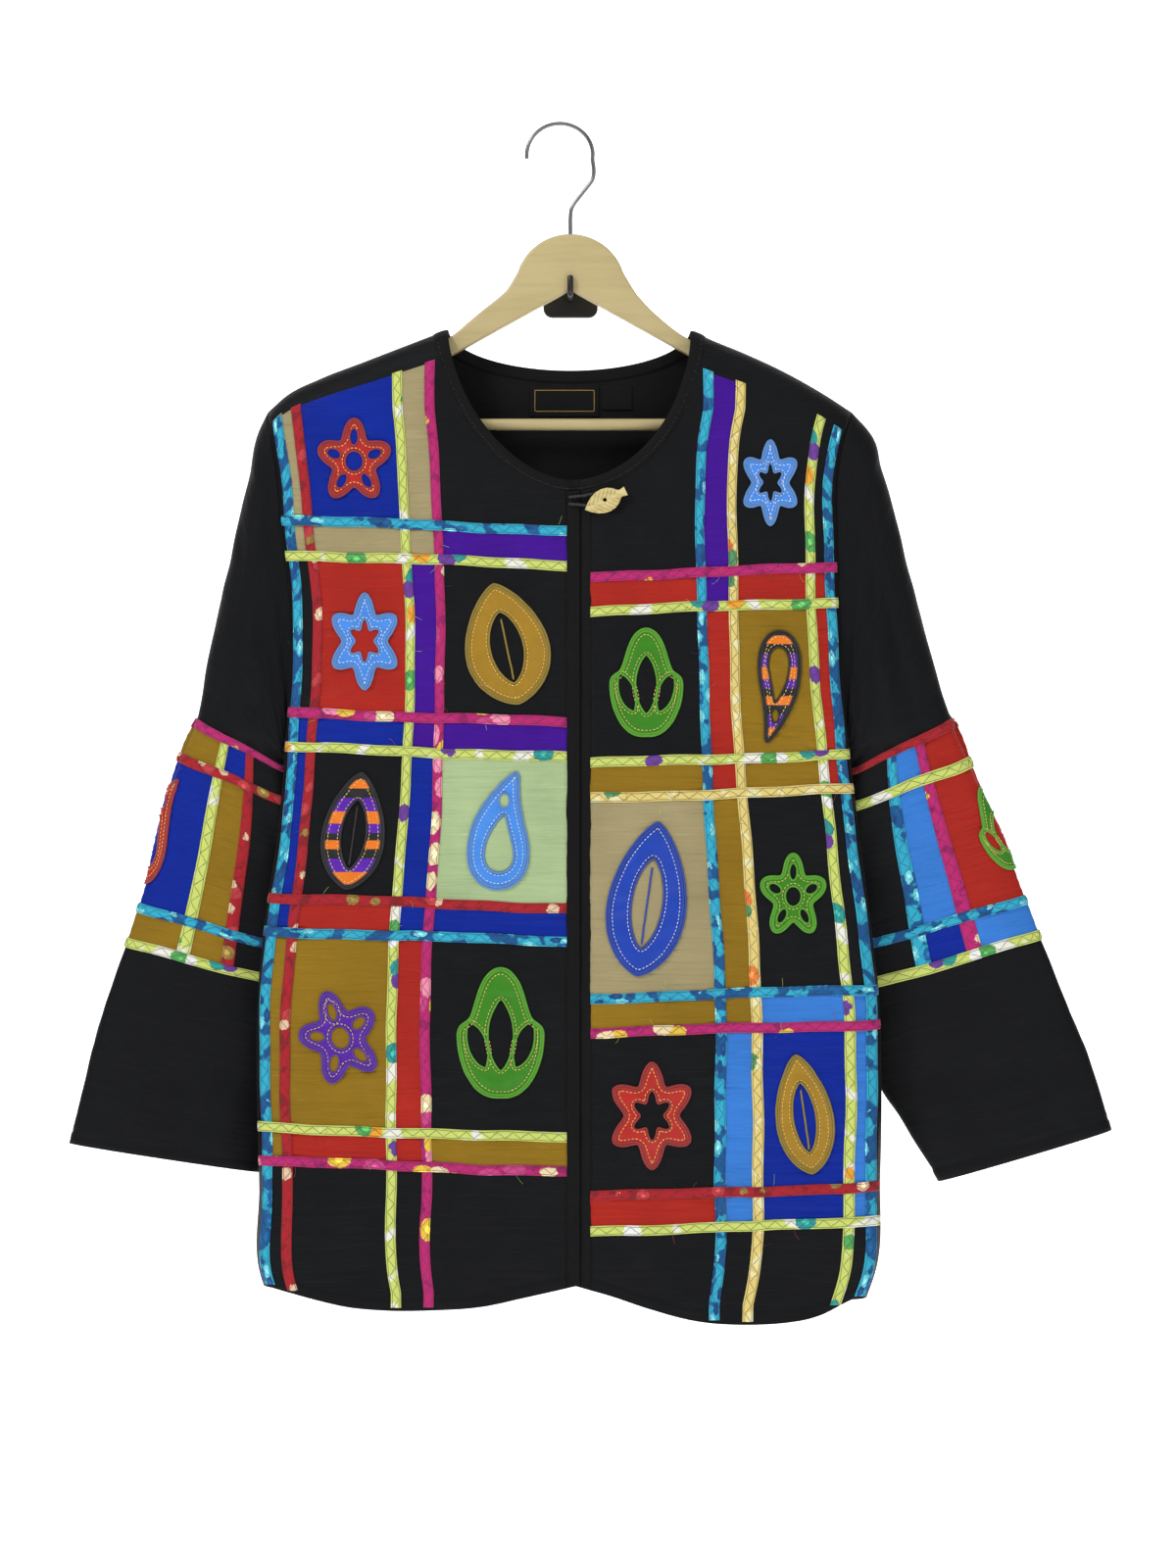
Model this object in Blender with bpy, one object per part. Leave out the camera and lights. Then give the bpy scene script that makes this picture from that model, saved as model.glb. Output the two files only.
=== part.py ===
"""Patchwork silk jacket, hung on a wooden hanger that a small wall hook holds.

Sizes are millimetres, turned into metres when a mesh is made. X is across, and positive on the
wearer's left. Y runs back to the wall, which is the plane Y = 0, and Z is up. The origin is the
middle of the wall hook's back. A place on one side of the garment is given by "out", its distance
from the plane X = 0 towards that side, and "drop", its distance below the origin.
"""

from collections import namedtuple
from math import cos, pi, radians, sin, tau

import bmesh
import bpy
import numpy as np
from mathutils import Vector
from mathutils.bvhtree import BVHTree

MM = 0.001

# Cloth
WALL = 1.6
SEAM_GAP = 0.4
SLEEVE_GAP = 1.0
TAPE_WALL = 0.8
TAPE_GAP = 0.3
APPLIQUE_WALL = 1.3
APPLIQUE_GAP = 0.8
BINDING_WIDTH = 8.0
BINDING_WALL = 2.6
BINDING_RISE = 0.5
# How far from the shoulder the binding has one more station, and how it climbs there
CORNER_SHARE = 0.2
CORNER_RISE = 0.36
LABEL_WALL = 0.6
LABEL_GAP = 0.9

# The hanger's plane, the line where front and back meet at the side, and the ends of the armhole
HANGER_Y = -32.0
SIDE_Y = -46.0
TIP_DROP = 95.0
UNDERARM_DROP = 343.0
# The wall of a panel is turned outwards from this far above the underarm to this far below it
UNDERARM_ABOVE = 20.0
UNDERARM_BELOW = 8.0
UNDERARM_TURN = (0.6, -0.8)
SHOULDER_TOP = 33.0
SHOULDER_ROLL = 26.0
FRONT_ROLL = 26.0
FRONT_NECK_DEPTH = 115.0
BACK_NECK_DEPTH = 29.0
BACK_NECK_POWER = 2.0
BACK_HEM_DROP = 746.0
LINE_TILT = 0.035

# The right front laps over the left one at the centre
CENTRE_RIGHT = -7.4
CENTRE_LEFT = 0.5
LAP_WIDTH = 16.0
LAP = 3.2

Side = namedtuple("Side", "name sign neck_out neck_power corner centre lap edge shoulder hem columns lines")
RIGHT = Side(
    name="right",
    sign=-1,
    neck_out=92.0,
    neck_power=1.75,
    corner=101,
    centre=CENTRE_RIGHT,
    lap=0.0,
    # (drop, out) down the armhole and the side
    edge=[(95, 228), (139, 221), (185, 217), (220, 212.5), (256, 210), (302, 211), (343, 214)]
    + [(420, 221), (459, 227), (520, 234), (680, 234), (745, 233), (757, 229)],
    # (out, drop) along the shoulder and the hem
    shoulder=[(93, 33), (114, 41), (158, 58), (189, 70), (216, 84), (228, 95)],
    hem=[(-8, 751), (33, 760), (67, 767), (102, 770), (172, 767), (198, 761), (229, 753)],
    # Edges of the patches and tapes, across the front at the shoulder, and down it at the centre
    columns=[2.2, 18, 38, 58, 76, 90, 97, 99.8, 101, 109, 126, 134, 151, 168, 185, 202, 210, 217]
    + [225, 228],
    lines=[182, 190, 208, 216, 326, 334, 352, 360, 465, 473, 490, 498, 637, 645, 662, 670],
)
LEFT = Side(
    name="left",
    sign=1,
    neck_out=90.5,
    neck_power=1.95,
    corner=99,
    centre=CENTRE_LEFT,
    lap=LAP,
    edge=[(95, 212), (117, 205), (140, 201), (198, 200.5), (256, 202.5), (314, 206), (343, 209)]
    + [(386, 214), (505, 229), (533, 232), (602, 234), (670, 233), (744, 229), (766, 221)],
    shoulder=[(91, 33), (101, 38), (132, 51), (162, 65), (192, 82), (212, 95)],
    hem=[(0, 751), (27, 758), (63, 769), (98, 778), (135, 781), (170, 779), (198, 773), (221, 762)],
    columns=[14.8, 30, 48, 66, 81, 91, 96, 98, 99, 107, 124, 132, 150, 168, 186, 194, 201, 209]
    + [212],
    lines=[217, 225, 243, 251, 357, 365, 383, 391, 533, 541, 559, 567, 681, 689, 707, 715],
)
# The column where each tape down the front begins; the next one is its other edge
TAPE_COLUMNS = {"right": (8, 10, 15, 17), "left": (8, 10, 14, 16)}
TOP_STEPS = (0, 0.012, 0.04, 0.085, 0.16, 0.3, 0.5, 0.75)
YOKE_STEPS = 4
BLOCK_STEPS = 2
HEM_STEPS = 3
PLACKET_ROWS = 11
# The back's columns: inside the neck, then from the neck's corner to the tip; and its rows
BACK_OUTS = (0, 25, 50, 71, 86, 96)
BACK_OUTER = (0.16, 0.38, 0.62, 0.82, 0.95, 1)
BACK_STEPS = (0, 0.003, 0.011, 0.025, 0.05, 0.1, 0.17, 0.25, 0.33, 0.372, 0.41, 0.47, 0.56, 0.7, 0.85, 1)
BACK_EDGE_POWER = 1.4

# How far back each layer of the body lies, down the garment
Depth = namedtuple("Depth", "drop front back front_edge back_edge back_roll")
DEPTHS = (
    Depth(95, -53, -13, -50, -15, 30),
    Depth(250, -57, -9, -51, -16, 30),
    Depth(310, -58, -8, -49, -28, 46),
    Depth(343, -58, -8, SIDE_Y, SIDE_Y, 60),
    Depth(550, -59, -8, SIDE_Y, SIDE_Y, 74),
    Depth(790, -61, -8, SIDE_Y, SIDE_Y, 74),
)

# Soft folds that run down the body, from the drop "top"
Fold = namedtuple("Fold", "out width height top")
FRONT_FOLDS = (
    Fold(58, 26, 2.4, 330),
    Fold(128, 30, -2.2, 240),
    Fold(176, 24, 2.0, 420),
    Fold(96, 22, -1.8, 560),
)
BACK_FOLDS = (
    Fold(-120, 24, 3.4, 200),
    Fold(-52, 26, -3.0, 300),
    Fold(8, 22, 3.2, 130),
    Fold(66, 24, -3.2, 260),
    Fold(128, 26, 3.0, 180),
)
FOLD_START = 120.0
FOLD_SIDE = 34.0

# The sleeves' outer and inner edges, from the armhole to the cuff
Ring = namedtuple("Ring", "along outer outer_drop inner inner_drop outer_y inner_y half")
RINGS = {
    "right": (
        Ring(0, 228.0, 95, 214.6, 343, -32, -46, 18),
        Ring(17, 235.3, 110, 215.8, 345, -31, -43, 18),
        Ring(52, 242.7, 144, 216.2, 348, -30, -40, 18),
        Ring(98, 253.0, 189, 216.2, 351, -29, -37, 18),
        Ring(150, 265.0, 240, 216.0, 355, -28, -35, 17),
        Ring(202, 276.0, 291, 215.0, 359, -27, -32, 16),
        Ring(242, 283.0, 330, 213.0, 366, -26, -28, 15),
        Ring(271, 294.5, 357, 208.0, 393, -25, -24, 14),
        Ring(301, 305.0, 385, 205.0, 420, -24, -20, 13),
        Ring(353, 318.0, 435, 206.0, 467, -22, -17, 12),
        Ring(393, 329.0, 474, 208.0, 508, -21, -16, 12),
        Ring(428, 340.0, 507, 210.0, 540, -20, -16, 12),
        Ring(470, 353.7, 546, 215.0, 582, -20, -16, 12),
        Ring(522, 367.0, 596, 226.0, 628, -20, -17, 13),
        Ring(575, 379.6, 648, 236.0, 670, -20, -18, 14),
    ),
    "left": (
        Ring(0, 212.0, 95, 209.6, 343, -32, -46, 18),
        Ring(17, 225.7, 110, 210.6, 345, -31, -43, 18),
        Ring(52, 235.3, 138, 211.0, 348, -30, -40, 18),
        Ring(98, 248.6, 187, 211.2, 351, -29, -37, 18),
        Ring(150, 263.4, 243, 211.2, 355, -28, -35, 17),
        Ring(202, 277.5, 294, 211.0, 360, -27, -32, 16),
        Ring(242, 289.0, 330, 209.0, 368, -26, -28, 15),
        Ring(271, 302.0, 361, 205.0, 397, -25, -24, 14),
        Ring(301, 317.0, 394, 203.0, 425, -24, -20, 13),
        Ring(353, 334.0, 432, 204.0, 469, -22, -17, 12),
        Ring(393, 347.0, 468, 206.0, 508, -21, -16, 12),
        Ring(428, 360.0, 502, 212.0, 546, -20, -16, 12),
        Ring(470, 377.4, 545, 226.0, 590, -20, -16, 12),
        Ring(522, 395.0, 589, 248.0, 626, -20, -17, 13),
        Ring(575, 410.0, 638, 279.0, 677, -20, -18, 14),
    ),
}
RING_POWER = 2.4
# How far down the sleeve its start follows the armhole's own curve, and how fast that fades
ARMHOLE_FADE = 130.0
ARMHOLE_FADE_POWER = 1.5
# Where the sleeve's rings and columns lie, and which of them edge its tapes
STATIONS = (0, 12, 34, 75, 130, 185, 238, 246, 266, 274, 328, 384, 392, 412, 420, 460, 515, 575)
TAPE_STATIONS = (6, 8, 11, 13)
# The rows where the sleeve's three lengths meet, and the gap left there
BAND_ROWS = (6, 14)
LENGTH_GAP = 1.3
ACROSS = (0, 0.05, 0.16, 0.3, 0.38, 0.56, 0.64, 0.78, 0.92, 1)
TAPE_ACROSS = (3, 5)

# Hanger
HANGER_THICK = 12.0
DOME_RADIUS = 42.0
DOME_TOP = 38.9
DOME_TURN = 74
ARM_TOPS = {
    "right": ((47, 2), (54, 9), (66, 18.5), (78, 28.5), (88, 37), (98, 42)),
    "left": ((47, 2), (52, 9), (62, 19.5), (74, 30), (86, 38.5), (97, 43.5)),
}
ARM_CLEARANCE = 2.8
HANGER_BEVEL = 2.5
ARM_STEPS = (115, 150, 175, 190)
ARM_TIP = ((195, 92), (196, 103), (188, 115), (178, 116), (172.3, 110), (172.3, 97), (164, 91), (90, 53))
CROTCH_DROP = 4.1
BAR_DROP = 104.5
BAR_HALF = 4.4
BAR_END = 172.0
BAR_SIDES = 12
WIRE_RADIUS = 1.5
BORE_RADIUS = 1.9
BORE_DEPTH = 16.0
BORE_OVER = 5.0
# The hook's wire above the hanger: its lean, as (across, up), then its ring
HOOK_LEAN = ((0, 42.9), (0.1, 53), (1.6, 60.2), (8.6, 69.6), (15.2, 78), (17.2, 82.3), (17.7, 88))
EYE_OUT = -8.0
EYE_RISE = 98.8
EYE_WIDE = 25.0
EYE_HIGH = 24.0
EYE_TURNS = range(-8, 193, 25)
HOOK_FLOOR = 1.0

# Wall hook
PLATE_SIDE = 41.4
PLATE_THICK = 4.0
PLATE_CORNER = 7.0
ROD_RADIUS = 2.2
ROD_TOP = 7.4
ROD_BEND = 4.0
# The rod's gaps below the hanger's crotch and ahead of its face
ROD_BELOW = 0.4
ROD_AHEAD = 0.8
CORNER_STEPS = 4

# Button, loop and labels
BUTTON_OUT = 26.5
BUTTON_DROP = 163.5
BUTTON_THICK = 3.2
BUTTON_TURN = 25
BUTTON_BEVEL = 0.8
# The leaf's upper edge, from its tip to the end of its stem
LEAF = ((-17, 0), (-13.5, 3.6), (-9, 6.7), (-4.5, 8.5), (0, 9), (4.5, 8.2), (8, 6.3), (10.6, 3.9)) + (
    (11.8, 2.9),
    (16.6, 3.5),
)
LOOP_RADIUS = 1.1
LOOP = ((-1, 161), (9, 160), (19, 158.5), (27, 159.5), (31, 163.5), (27, 167.5), (19, 168.5)) + (
    (9, 167),
    (-1, 166),
)

# Each label's two sides, top and foot
LABELS = (("label", -31, 22, 73, 97), ("size_label", 24, 47, 73, 92))

# Base colour, roughness and metalness
COLOURS = {
    "silk": ((0.012, 0.013, 0.014), 0.55, 0.0),
    "trim": ((0.010, 0.010, 0.011), 0.6, 0.0),
    "tape": ((0.62, 0.66, 0.16), 0.7, 0.0),
    "red": ((0.42, 0.016, 0.010), 0.5, 0.0),
    "gold": ((0.30, 0.17, 0.012), 0.5, 0.0),
    "sky": ((0.045, 0.21, 0.68), 0.5, 0.0),
    "green": ((0.10, 0.36, 0.012), 0.5, 0.0),
    "blue": ((0.006, 0.030, 0.36), 0.5, 0.0),
    "purple": ((0.07, 0.008, 0.28), 0.5, 0.0),
    "orange": ((0.78, 0.15, 0.010), 0.5, 0.0),
    "birch": ((0.52, 0.43, 0.24), 0.55, 0.0),
    "steel": ((0.62, 0.61, 0.60), 0.25, 1.0),
    "black_paint": ((0.008, 0.008, 0.009), 0.3, 0.0),
    "carved_wood": ((0.68, 0.60, 0.42), 0.6, 0.0),
}

# The raised patches: where each one's middle lies on its front, and its size
Motif = namedtuple("Motif", "shape out drop wide high turn colour")
MOTIFS = {
    "right": (
        Motif("flower", 162, 134, 58, 66, 0, "red"),
        Motif("leaf", 48, 271, 62, 92, 12, "gold"),
        Motif("star", 154, 269, 56, 74, 0, "sky"),
        Motif("paisley", 50, 411, 66, 88, 0, "sky"),
        Motif("leaf", 162, 411, 46, 88, -8, "orange"),
        Motif("tulip", 52, 567, 76, 108, 0, "green"),
        Motif("flower", 172, 566, 62, 74, 18, "purple"),
    ),
    "left": (
        Motif("star", 150, 150, 46, 66, 0, "sky"),
        Motif("tulip", 57, 304, 64, 90, 0, "green"),
        Motif("paisley", 154, 303, 46, 84, 180, "purple"),
        Motif("leaf", 58, 462, 58, 116, -8, "blue"),
        Motif("flower", 167, 460, 52, 66, 0, "green"),
        Motif("star", 61, 624, 68, 82, 0, "red"),
        Motif("leaf", 175, 623, 42, 90, 8, "gold"),
    ),
}
OUTLINE_POINTS = 18
INNER_RING = 0.5
RAY_START = -200.0


def clear_scene():
    for item in list(bpy.data.objects):
        bpy.data.objects.remove(item, do_unlink=True)


def material(colour):
    """A Principled material, made once for each colour."""
    found = bpy.data.materials.get(colour)
    if found:
        return found
    base, roughness, metallic = COLOURS[colour]
    made = bpy.data.materials.new(colour)
    made.use_nodes = True
    shader = made.node_tree.nodes["Principled BSDF"]
    shader.inputs["Base Color"].default_value = (*base, 1)
    shader.inputs["Roughness"].default_value = roughness
    shader.inputs["Metallic"].default_value = metallic
    return made


def place(name, bm, colour):
    """Turns a bmesh in millimetres into a named object in metres."""
    bmesh.ops.scale(bm, vec=(MM, MM, MM), verts=bm.verts)
    bmesh.ops.recalc_face_normals(bm, faces=bm.faces)
    mesh = bpy.data.meshes.new(name)
    bm.to_mesh(mesh)
    bm.free()
    item = bpy.data.objects.new(name, mesh)
    item.data.materials.append(material(colour))
    bpy.context.collection.objects.link(item)
    return item


def between(pairs, at):
    """The second value of the pairs, read between them where the first is "at"."""
    return float(np.interp(at, [pair[0] for pair in pairs], [pair[1] for pair in pairs]))


def row_at(rows, key, at):
    """A row of a table, read between its rows where the field "key" is "at"."""
    keys = [getattr(row, key) for row in rows]
    return type(rows[0])(*(np.interp(at, keys, column) for column in zip(*rows)))


def rounding(share, power=2.0):
    """Rises from 0 to 1 as a rounded edge does, steep at first and level at the end."""
    return (1 - (1 - min(max(share, 0), 1)) ** power) ** (1 / power)


def smooth(share):
    share = min(max(share, 0), 1)
    return share * share * (3 - 2 * share)


def side_of(x):
    return RIGHT if x < 0 else LEFT


def neckline(side, out, depth, power, border=0.0):
    """The drop of the neck's edge at "out", or of a line that lies "border" outside it."""
    share = min(abs(out) / (side.neck_out + border), 1)
    return SHOULDER_TOP + (depth + border) * (1 - share**power) ** (1 / power)


def panel_top(side, out, depth, power):
    """The drop of a panel's top edge: its shoulder seam, or its seam with the binding."""
    border = BINDING_WIDTH + SEAM_GAP
    shoulder = between(side.shoulder, out)
    if out >= side.corner:
        return shoulder
    return max(shoulder, neckline(side, out, depth, power, border))


def folds(rows, out, drop, inset):
    lift = 0.0
    for row in rows:
        grown = row.height * smooth((drop - row.top) / FOLD_START)
        lift += grown * np.exp(-(((out - row.out) / row.width) ** 2))
    return lift * smooth(inset / FOLD_SIDE)


def front_y(side, out, drop):
    """How far back the outer face of a front lies."""
    layer = row_at(DEPTHS, "drop", drop)
    inset = between(side.edge, drop) - out
    y = layer.front_edge + (layer.front - layer.front_edge) * rounding(inset / FRONT_ROLL)
    y -= folds(FRONT_FOLDS, out, drop, inset)
    y += side.lap * (1 - smooth((out - side.centre) / LAP_WIDTH))
    fall = drop - between(side.shoulder, out)
    return HANGER_Y + (y - HANGER_Y) * rounding(fall / SHOULDER_ROLL) - SEAM_GAP / 2


def back_y(x, drop):
    """How far back the outer face of the back lies."""
    side = side_of(x)
    layer = row_at(DEPTHS, "drop", drop)
    inset = between(side.edge, drop) - abs(x)
    y = layer.back_edge + (layer.back - layer.back_edge) * rounding(inset / layer.back_roll, BACK_EDGE_POWER)
    y -= folds(BACK_FOLDS, x, drop, inset)
    fall = drop - between(side.shoulder, abs(x))
    return HANGER_Y + (y - HANGER_Y) * rounding(fall / SHOULDER_ROLL) + SEAM_GAP / 2


def front_point(side, out, drop):
    return (side.sign * out, front_y(side, out, drop), -drop)


def facing(grid, towards, wrapped=False):
    """The unit normals of a grid of points, turned to the side that "towards" lies on."""
    across = np.gradient(grid, axis=1)
    if wrapped:
        across = (np.roll(grid, -1, axis=1) - np.roll(grid, 1, axis=1)) / 2
    normals = np.cross(across, np.gradient(grid, axis=0))
    normals /= np.maximum(np.linalg.norm(normals, axis=2, keepdims=True), 1e-9)
    return normals * np.where((normals * towards).sum(axis=2, keepdims=True) < 0, -1, 1)


def unit(vector):
    return vector / np.linalg.norm(vector)


def sheet(name, low, high, colour, cells=None, wrapped=False):
    """A closed solid between two grids of points. "cells" says which of the grid's cells it fills."""
    rows, columns = low.shape[:2]
    steps = columns if wrapped else columns - 1
    if cells is None:
        cells = np.ones((rows - 1, steps), bool)
    bm = bmesh.new()
    made = {}

    def corner(level, row, column):
        key = (level, row, column % columns)
        if key not in made:
            made[key] = bm.verts.new(((low, high)[level])[row, column % columns])
        return made[key]

    def quad(a, b, c, d):
        bm.faces.new((a, b, c))
        bm.faces.new((a, c, d))

    def filled(row, column):
        if wrapped:
            column %= columns
        return 0 <= row < rows - 1 and 0 <= column < steps and cells[row, column]

    for row in range(rows - 1):
        for column in range(steps):
            if not cells[row, column]:
                continue
            ends = ((row, column), (row, column + 1), (row + 1, column + 1), (row + 1, column))
            for level in (0, 1):
                quad(*(corner(level, *end) for end in ends))
            beyond = ((row - 1, column), (row, column + 1), (row + 1, column), (row, column - 1))
            for index, cell in enumerate(beyond):
                if not filled(*cell):
                    a, b = ends[index], ends[(index + 1) % 4]
                    quad(corner(0, *a), corner(0, *b), corner(1, *b), corner(1, *a))
    return place(name, bm, colour)


def tube(name, points, radius, colour, sides=8):
    """A round cord or wire through the points, with flat ends."""
    curve = bpy.data.curves.new(name, "CURVE")
    curve.dimensions = "3D"
    curve.bevel_depth = radius * MM
    curve.bevel_resolution = sides // 2 - 2
    curve.use_fill_caps = True
    line = curve.splines.new("POLY")
    line.points.add(len(points) - 1)
    for target, point in zip(line.points, points):
        target.co = (*(value * MM for value in point), 1)
    curve.materials.append(material(colour))
    drawn = bpy.data.objects.new(name, curve)
    bpy.context.collection.objects.link(drawn)
    mesh = bpy.data.meshes.new_from_object(drawn)
    bpy.data.objects.remove(drawn, do_unlink=True)
    item = bpy.data.objects.new(name, mesh)
    bpy.context.collection.objects.link(item)
    return item


def spline(points, steps):
    """Points along a smooth curve through the given ones."""
    points = np.array(points, float)
    padded = np.vstack([2 * points[0] - points[1], points, 2 * points[-1] - points[-2]])
    found = []
    for a, b, c, d in zip(padded, padded[1:], padded[2:], padded[3:]):
        for step in range(steps):
            t = step / steps
            square, cube = 2 * a - 5 * b + 4 * c - d, 3 * b - a - 3 * c + d
            found.append(0.5 * (2 * b + (c - a) * t + square * t**2 + cube * t**3))
    return np.array([*found, points[-1]])


def prism(name, outline, low_y, high_y, colour, bevel=0.0):
    """A solid with an outline across and up, from one depth to another."""
    bm = bmesh.new()
    face = bm.faces.new([bm.verts.new((x, low_y, z)) for x, z in outline])
    moved = bmesh.ops.extrude_face_region(bm, geom=[face])["geom"]
    verts = [item for item in moved if isinstance(item, bmesh.types.BMVert)]
    bmesh.ops.translate(bm, vec=(0, high_y - low_y, 0), verts=verts)
    if bevel:
        rims = [edge for edge in bm.edges if abs(edge.verts[0].co.y - edge.verts[1].co.y) < 1e-6]
        bmesh.ops.bevel(bm, geom=rims, offset=bevel, segments=1, affect="EDGES")
    return place(name, bm, colour)


def cut(item, other, operation):
    """Applies a Boolean with another object, then removes that object."""
    modifier = item.modifiers.new("cut", "BOOLEAN")
    modifier.operation = operation
    modifier.object = other
    shape = item.evaluated_get(bpy.context.evaluated_depsgraph_get())
    mesh = bpy.data.meshes.new_from_object(shape)
    item.modifiers.clear()
    item.data = mesh
    bpy.data.objects.remove(other, do_unlink=True)


def front_levels(side, out):
    """The drops of the rows of a front at a column, which goes with the armhole and the side."""
    first, last = side.columns[0], side.columns[-1]
    share = (out - first) / (last - first)

    def at(drop):
        return first + share * (between(side.edge, drop) - first)

    line_drops = [drop - LINE_TILT * out for drop in side.lines]
    top = panel_top(side, out, FRONT_NECK_DEPTH, side.neck_power)
    drops = [top + step * (line_drops[0] - top) for step in TOP_STEPS]
    for number, drop in enumerate(line_drops):
        drops.append(drop)
        if number % 4 == 3:
            is_last = number == len(line_drops) - 1
            end = between(side.hem, at(drop)) if is_last else line_drops[number + 1]
            steps = HEM_STEPS if is_last else BLOCK_STEPS
            drops += [drop + (end - drop) * step / steps for step in range(1, steps)]
            if is_last:
                drops.append(end)
    return [(at(drop), drop) for drop in drops]


def neck_turns(line):
    """The directions, across and down, that lead square off a line of places into the neck."""
    along = np.gradient(line, axis=0)
    turns = np.stack([along[:, 1], -along[:, 0]], axis=1)
    turns /= np.linalg.norm(turns, axis=1, keepdims=True)
    middle = np.array((0, SHOULDER_TOP + BACK_NECK_DEPTH / 2))
    return turns * np.sign((turns * (middle - line)).sum(axis=1, keepdims=True))


def squared(normal, turn):
    """A normal made square to a direction across and down."""
    across = np.array((turn[0], 0, -turn[1]))
    return unit(normal - across * (normal @ across))


def seam_normals(side, grid, normals):
    """Turns the wall's ends square to its neighbours along the neck, shoulder, armhole and side."""
    shoulder = np.abs(grid[0, :, 0]) >= side.corner - 0.5
    for column in np.flatnonzero(shoulder):
        normals[0, column] = unit(normals[0, column] * (1, 0, 1))
    corner = np.flatnonzero(shoulder)[0]
    turns = neck_turns(grid[0, : corner + 1, ::2] * (1, -1))
    for column in range(corner):
        normals[0, column] = squared(normals[0, column], turns[column])
    normals[0, corner] = (0, 0, 1)
    for row, z in enumerate(grid[:, -1, 2]):
        if -z < UNDERARM_DROP - UNDERARM_ABOVE:
            normals[row, -1] = unit(normals[row, -1] * (0, 1, 1))
        elif -z < UNDERARM_DROP + UNDERARM_BELOW:
            normals[row, -1] = (UNDERARM_TURN[0] * side.sign, 0, UNDERARM_TURN[1])
        else:
            normals[row, -1] = (side.sign, 0, 0)
    return normals


def front_grid(side):
    columns = [[front_point(side, *level) for level in front_levels(side, out)] for out in side.columns]
    grid = np.array(columns).transpose(1, 0, 2)
    return grid, seam_normals(side, grid, facing(grid, np.array((0, -1, 0))))


def front(side):
    grid, normals = front_grid(side)
    return sheet(f"front_{side.name}", grid - normals * WALL, grid, "silk")


def tapes(side):
    """The tapes over the joins of one front, as one open lattice of raised strips."""
    grid, normals = front_grid(side)
    cells = np.zeros((grid.shape[0] - 1, grid.shape[1] - 1), bool)
    for column in TAPE_COLUMNS[side.name]:
        cells[YOKE_STEPS:, column] = True
    row = len(TOP_STEPS)
    for number in range(0, len(side.lines), 4):
        cells[[row, row + 2], :] = True
        row += 3 + BLOCK_STEPS
    low = grid + normals * TAPE_GAP
    return sheet(f"tapes_{side.name}", low, low + normals * TAPE_WALL, "tape", cells)


def placket(side):
    """The black strip down a front's edge."""
    inner = side.columns[0] - SEAM_GAP
    rows = []
    for out in (side.centre, (side.centre + inner) / 2, inner):
        top = neckline(side, out, FRONT_NECK_DEPTH, side.neck_power, BINDING_WIDTH + SEAM_GAP)
        end = between(side.hem, out)
        drops = np.linspace(top, end, PLACKET_ROWS)
        rows.append([front_point(side, out, drop) for drop in drops])
    grid = np.array(rows).transpose(1, 0, 2)
    normals = facing(grid, np.array((0, -1, 0)))
    return sheet(f"placket_{side.name}", grid - normals * WALL, grid, "trim")


def back_levels(side, out):
    """The places of a column of the back, which goes with the armhole and the side."""
    top = panel_top(side, out, BACK_NECK_DEPTH, BACK_NECK_POWER)
    drops = [top + step * (BACK_HEM_DROP - top) for step in BACK_STEPS]
    share = out / side.shoulder[-1][0]
    return [(share * between(side.edge, drop), drop) for drop in drops]


def back():
    """The back's two halves, from side seam to side seam, which meet down the middle."""
    columns = []
    for side in (RIGHT, LEFT):
        tip = side.shoulder[-1][0]
        outs = [*BACK_OUTS, side.corner, *(side.corner + share * (tip - side.corner) for share in BACK_OUTER)]
        for out in outs[1:] if side is LEFT else reversed(outs):
            places = [(side.sign * place_out, drop) for place_out, drop in back_levels(side, out)]
            columns.append([(x, back_y(x, drop), -drop) for x, drop in places])
    grid = np.array(columns).transpose(1, 0, 2)
    normals = facing(grid, np.array((0, 1, 0)))
    middle = len(columns) // 2
    normals[:, middle:] = seam_normals(LEFT, grid[:, middle:], normals[:, middle:])
    mirrored = seam_normals(RIGHT, grid[:, middle::-1], normals[:, middle::-1])
    normals[:, : middle + 1] = mirrored[:, ::-1]
    for side, part in ((RIGHT, slice(None, middle + 1)), (LEFT, slice(middle, None))):
        outer = grid[:, part].copy()
        outer[:, -1 if side is RIGHT else 0, 0] += side.sign * SEAM_GAP / 2
        sheet(f"back_{side.name}", outer - normals[:, part] * WALL, outer, "silk")


def armhole_point(side, share, is_front):
    drop = TIP_DROP + (UNDERARM_DROP - TIP_DROP) * share
    layer = row_at(DEPTHS, "drop", drop)
    y = layer.front_edge if is_front else layer.back_edge
    y = HANGER_Y + (y - HANGER_Y) * rounding((drop - TIP_DROP) / SHOULDER_ROLL)
    return np.array((between(side.edge, drop) + SLEEVE_GAP, y, -drop))


def ring_point(ring, share, is_front):
    """A point on a sleeve's ring, "share" of the way from its outer to its inner edge."""
    bulge = ring.half * (1 - abs(1 - 2 * share) ** RING_POWER) ** (1 / RING_POWER)
    out = ring.outer + (ring.inner - ring.outer) * share
    drop = ring.outer_drop + (ring.inner_drop - ring.outer_drop) * share
    y = ring.outer_y + (ring.inner_y - ring.outer_y) * share
    return np.array((out, y - bulge if is_front else y + bulge, -drop))


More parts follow.
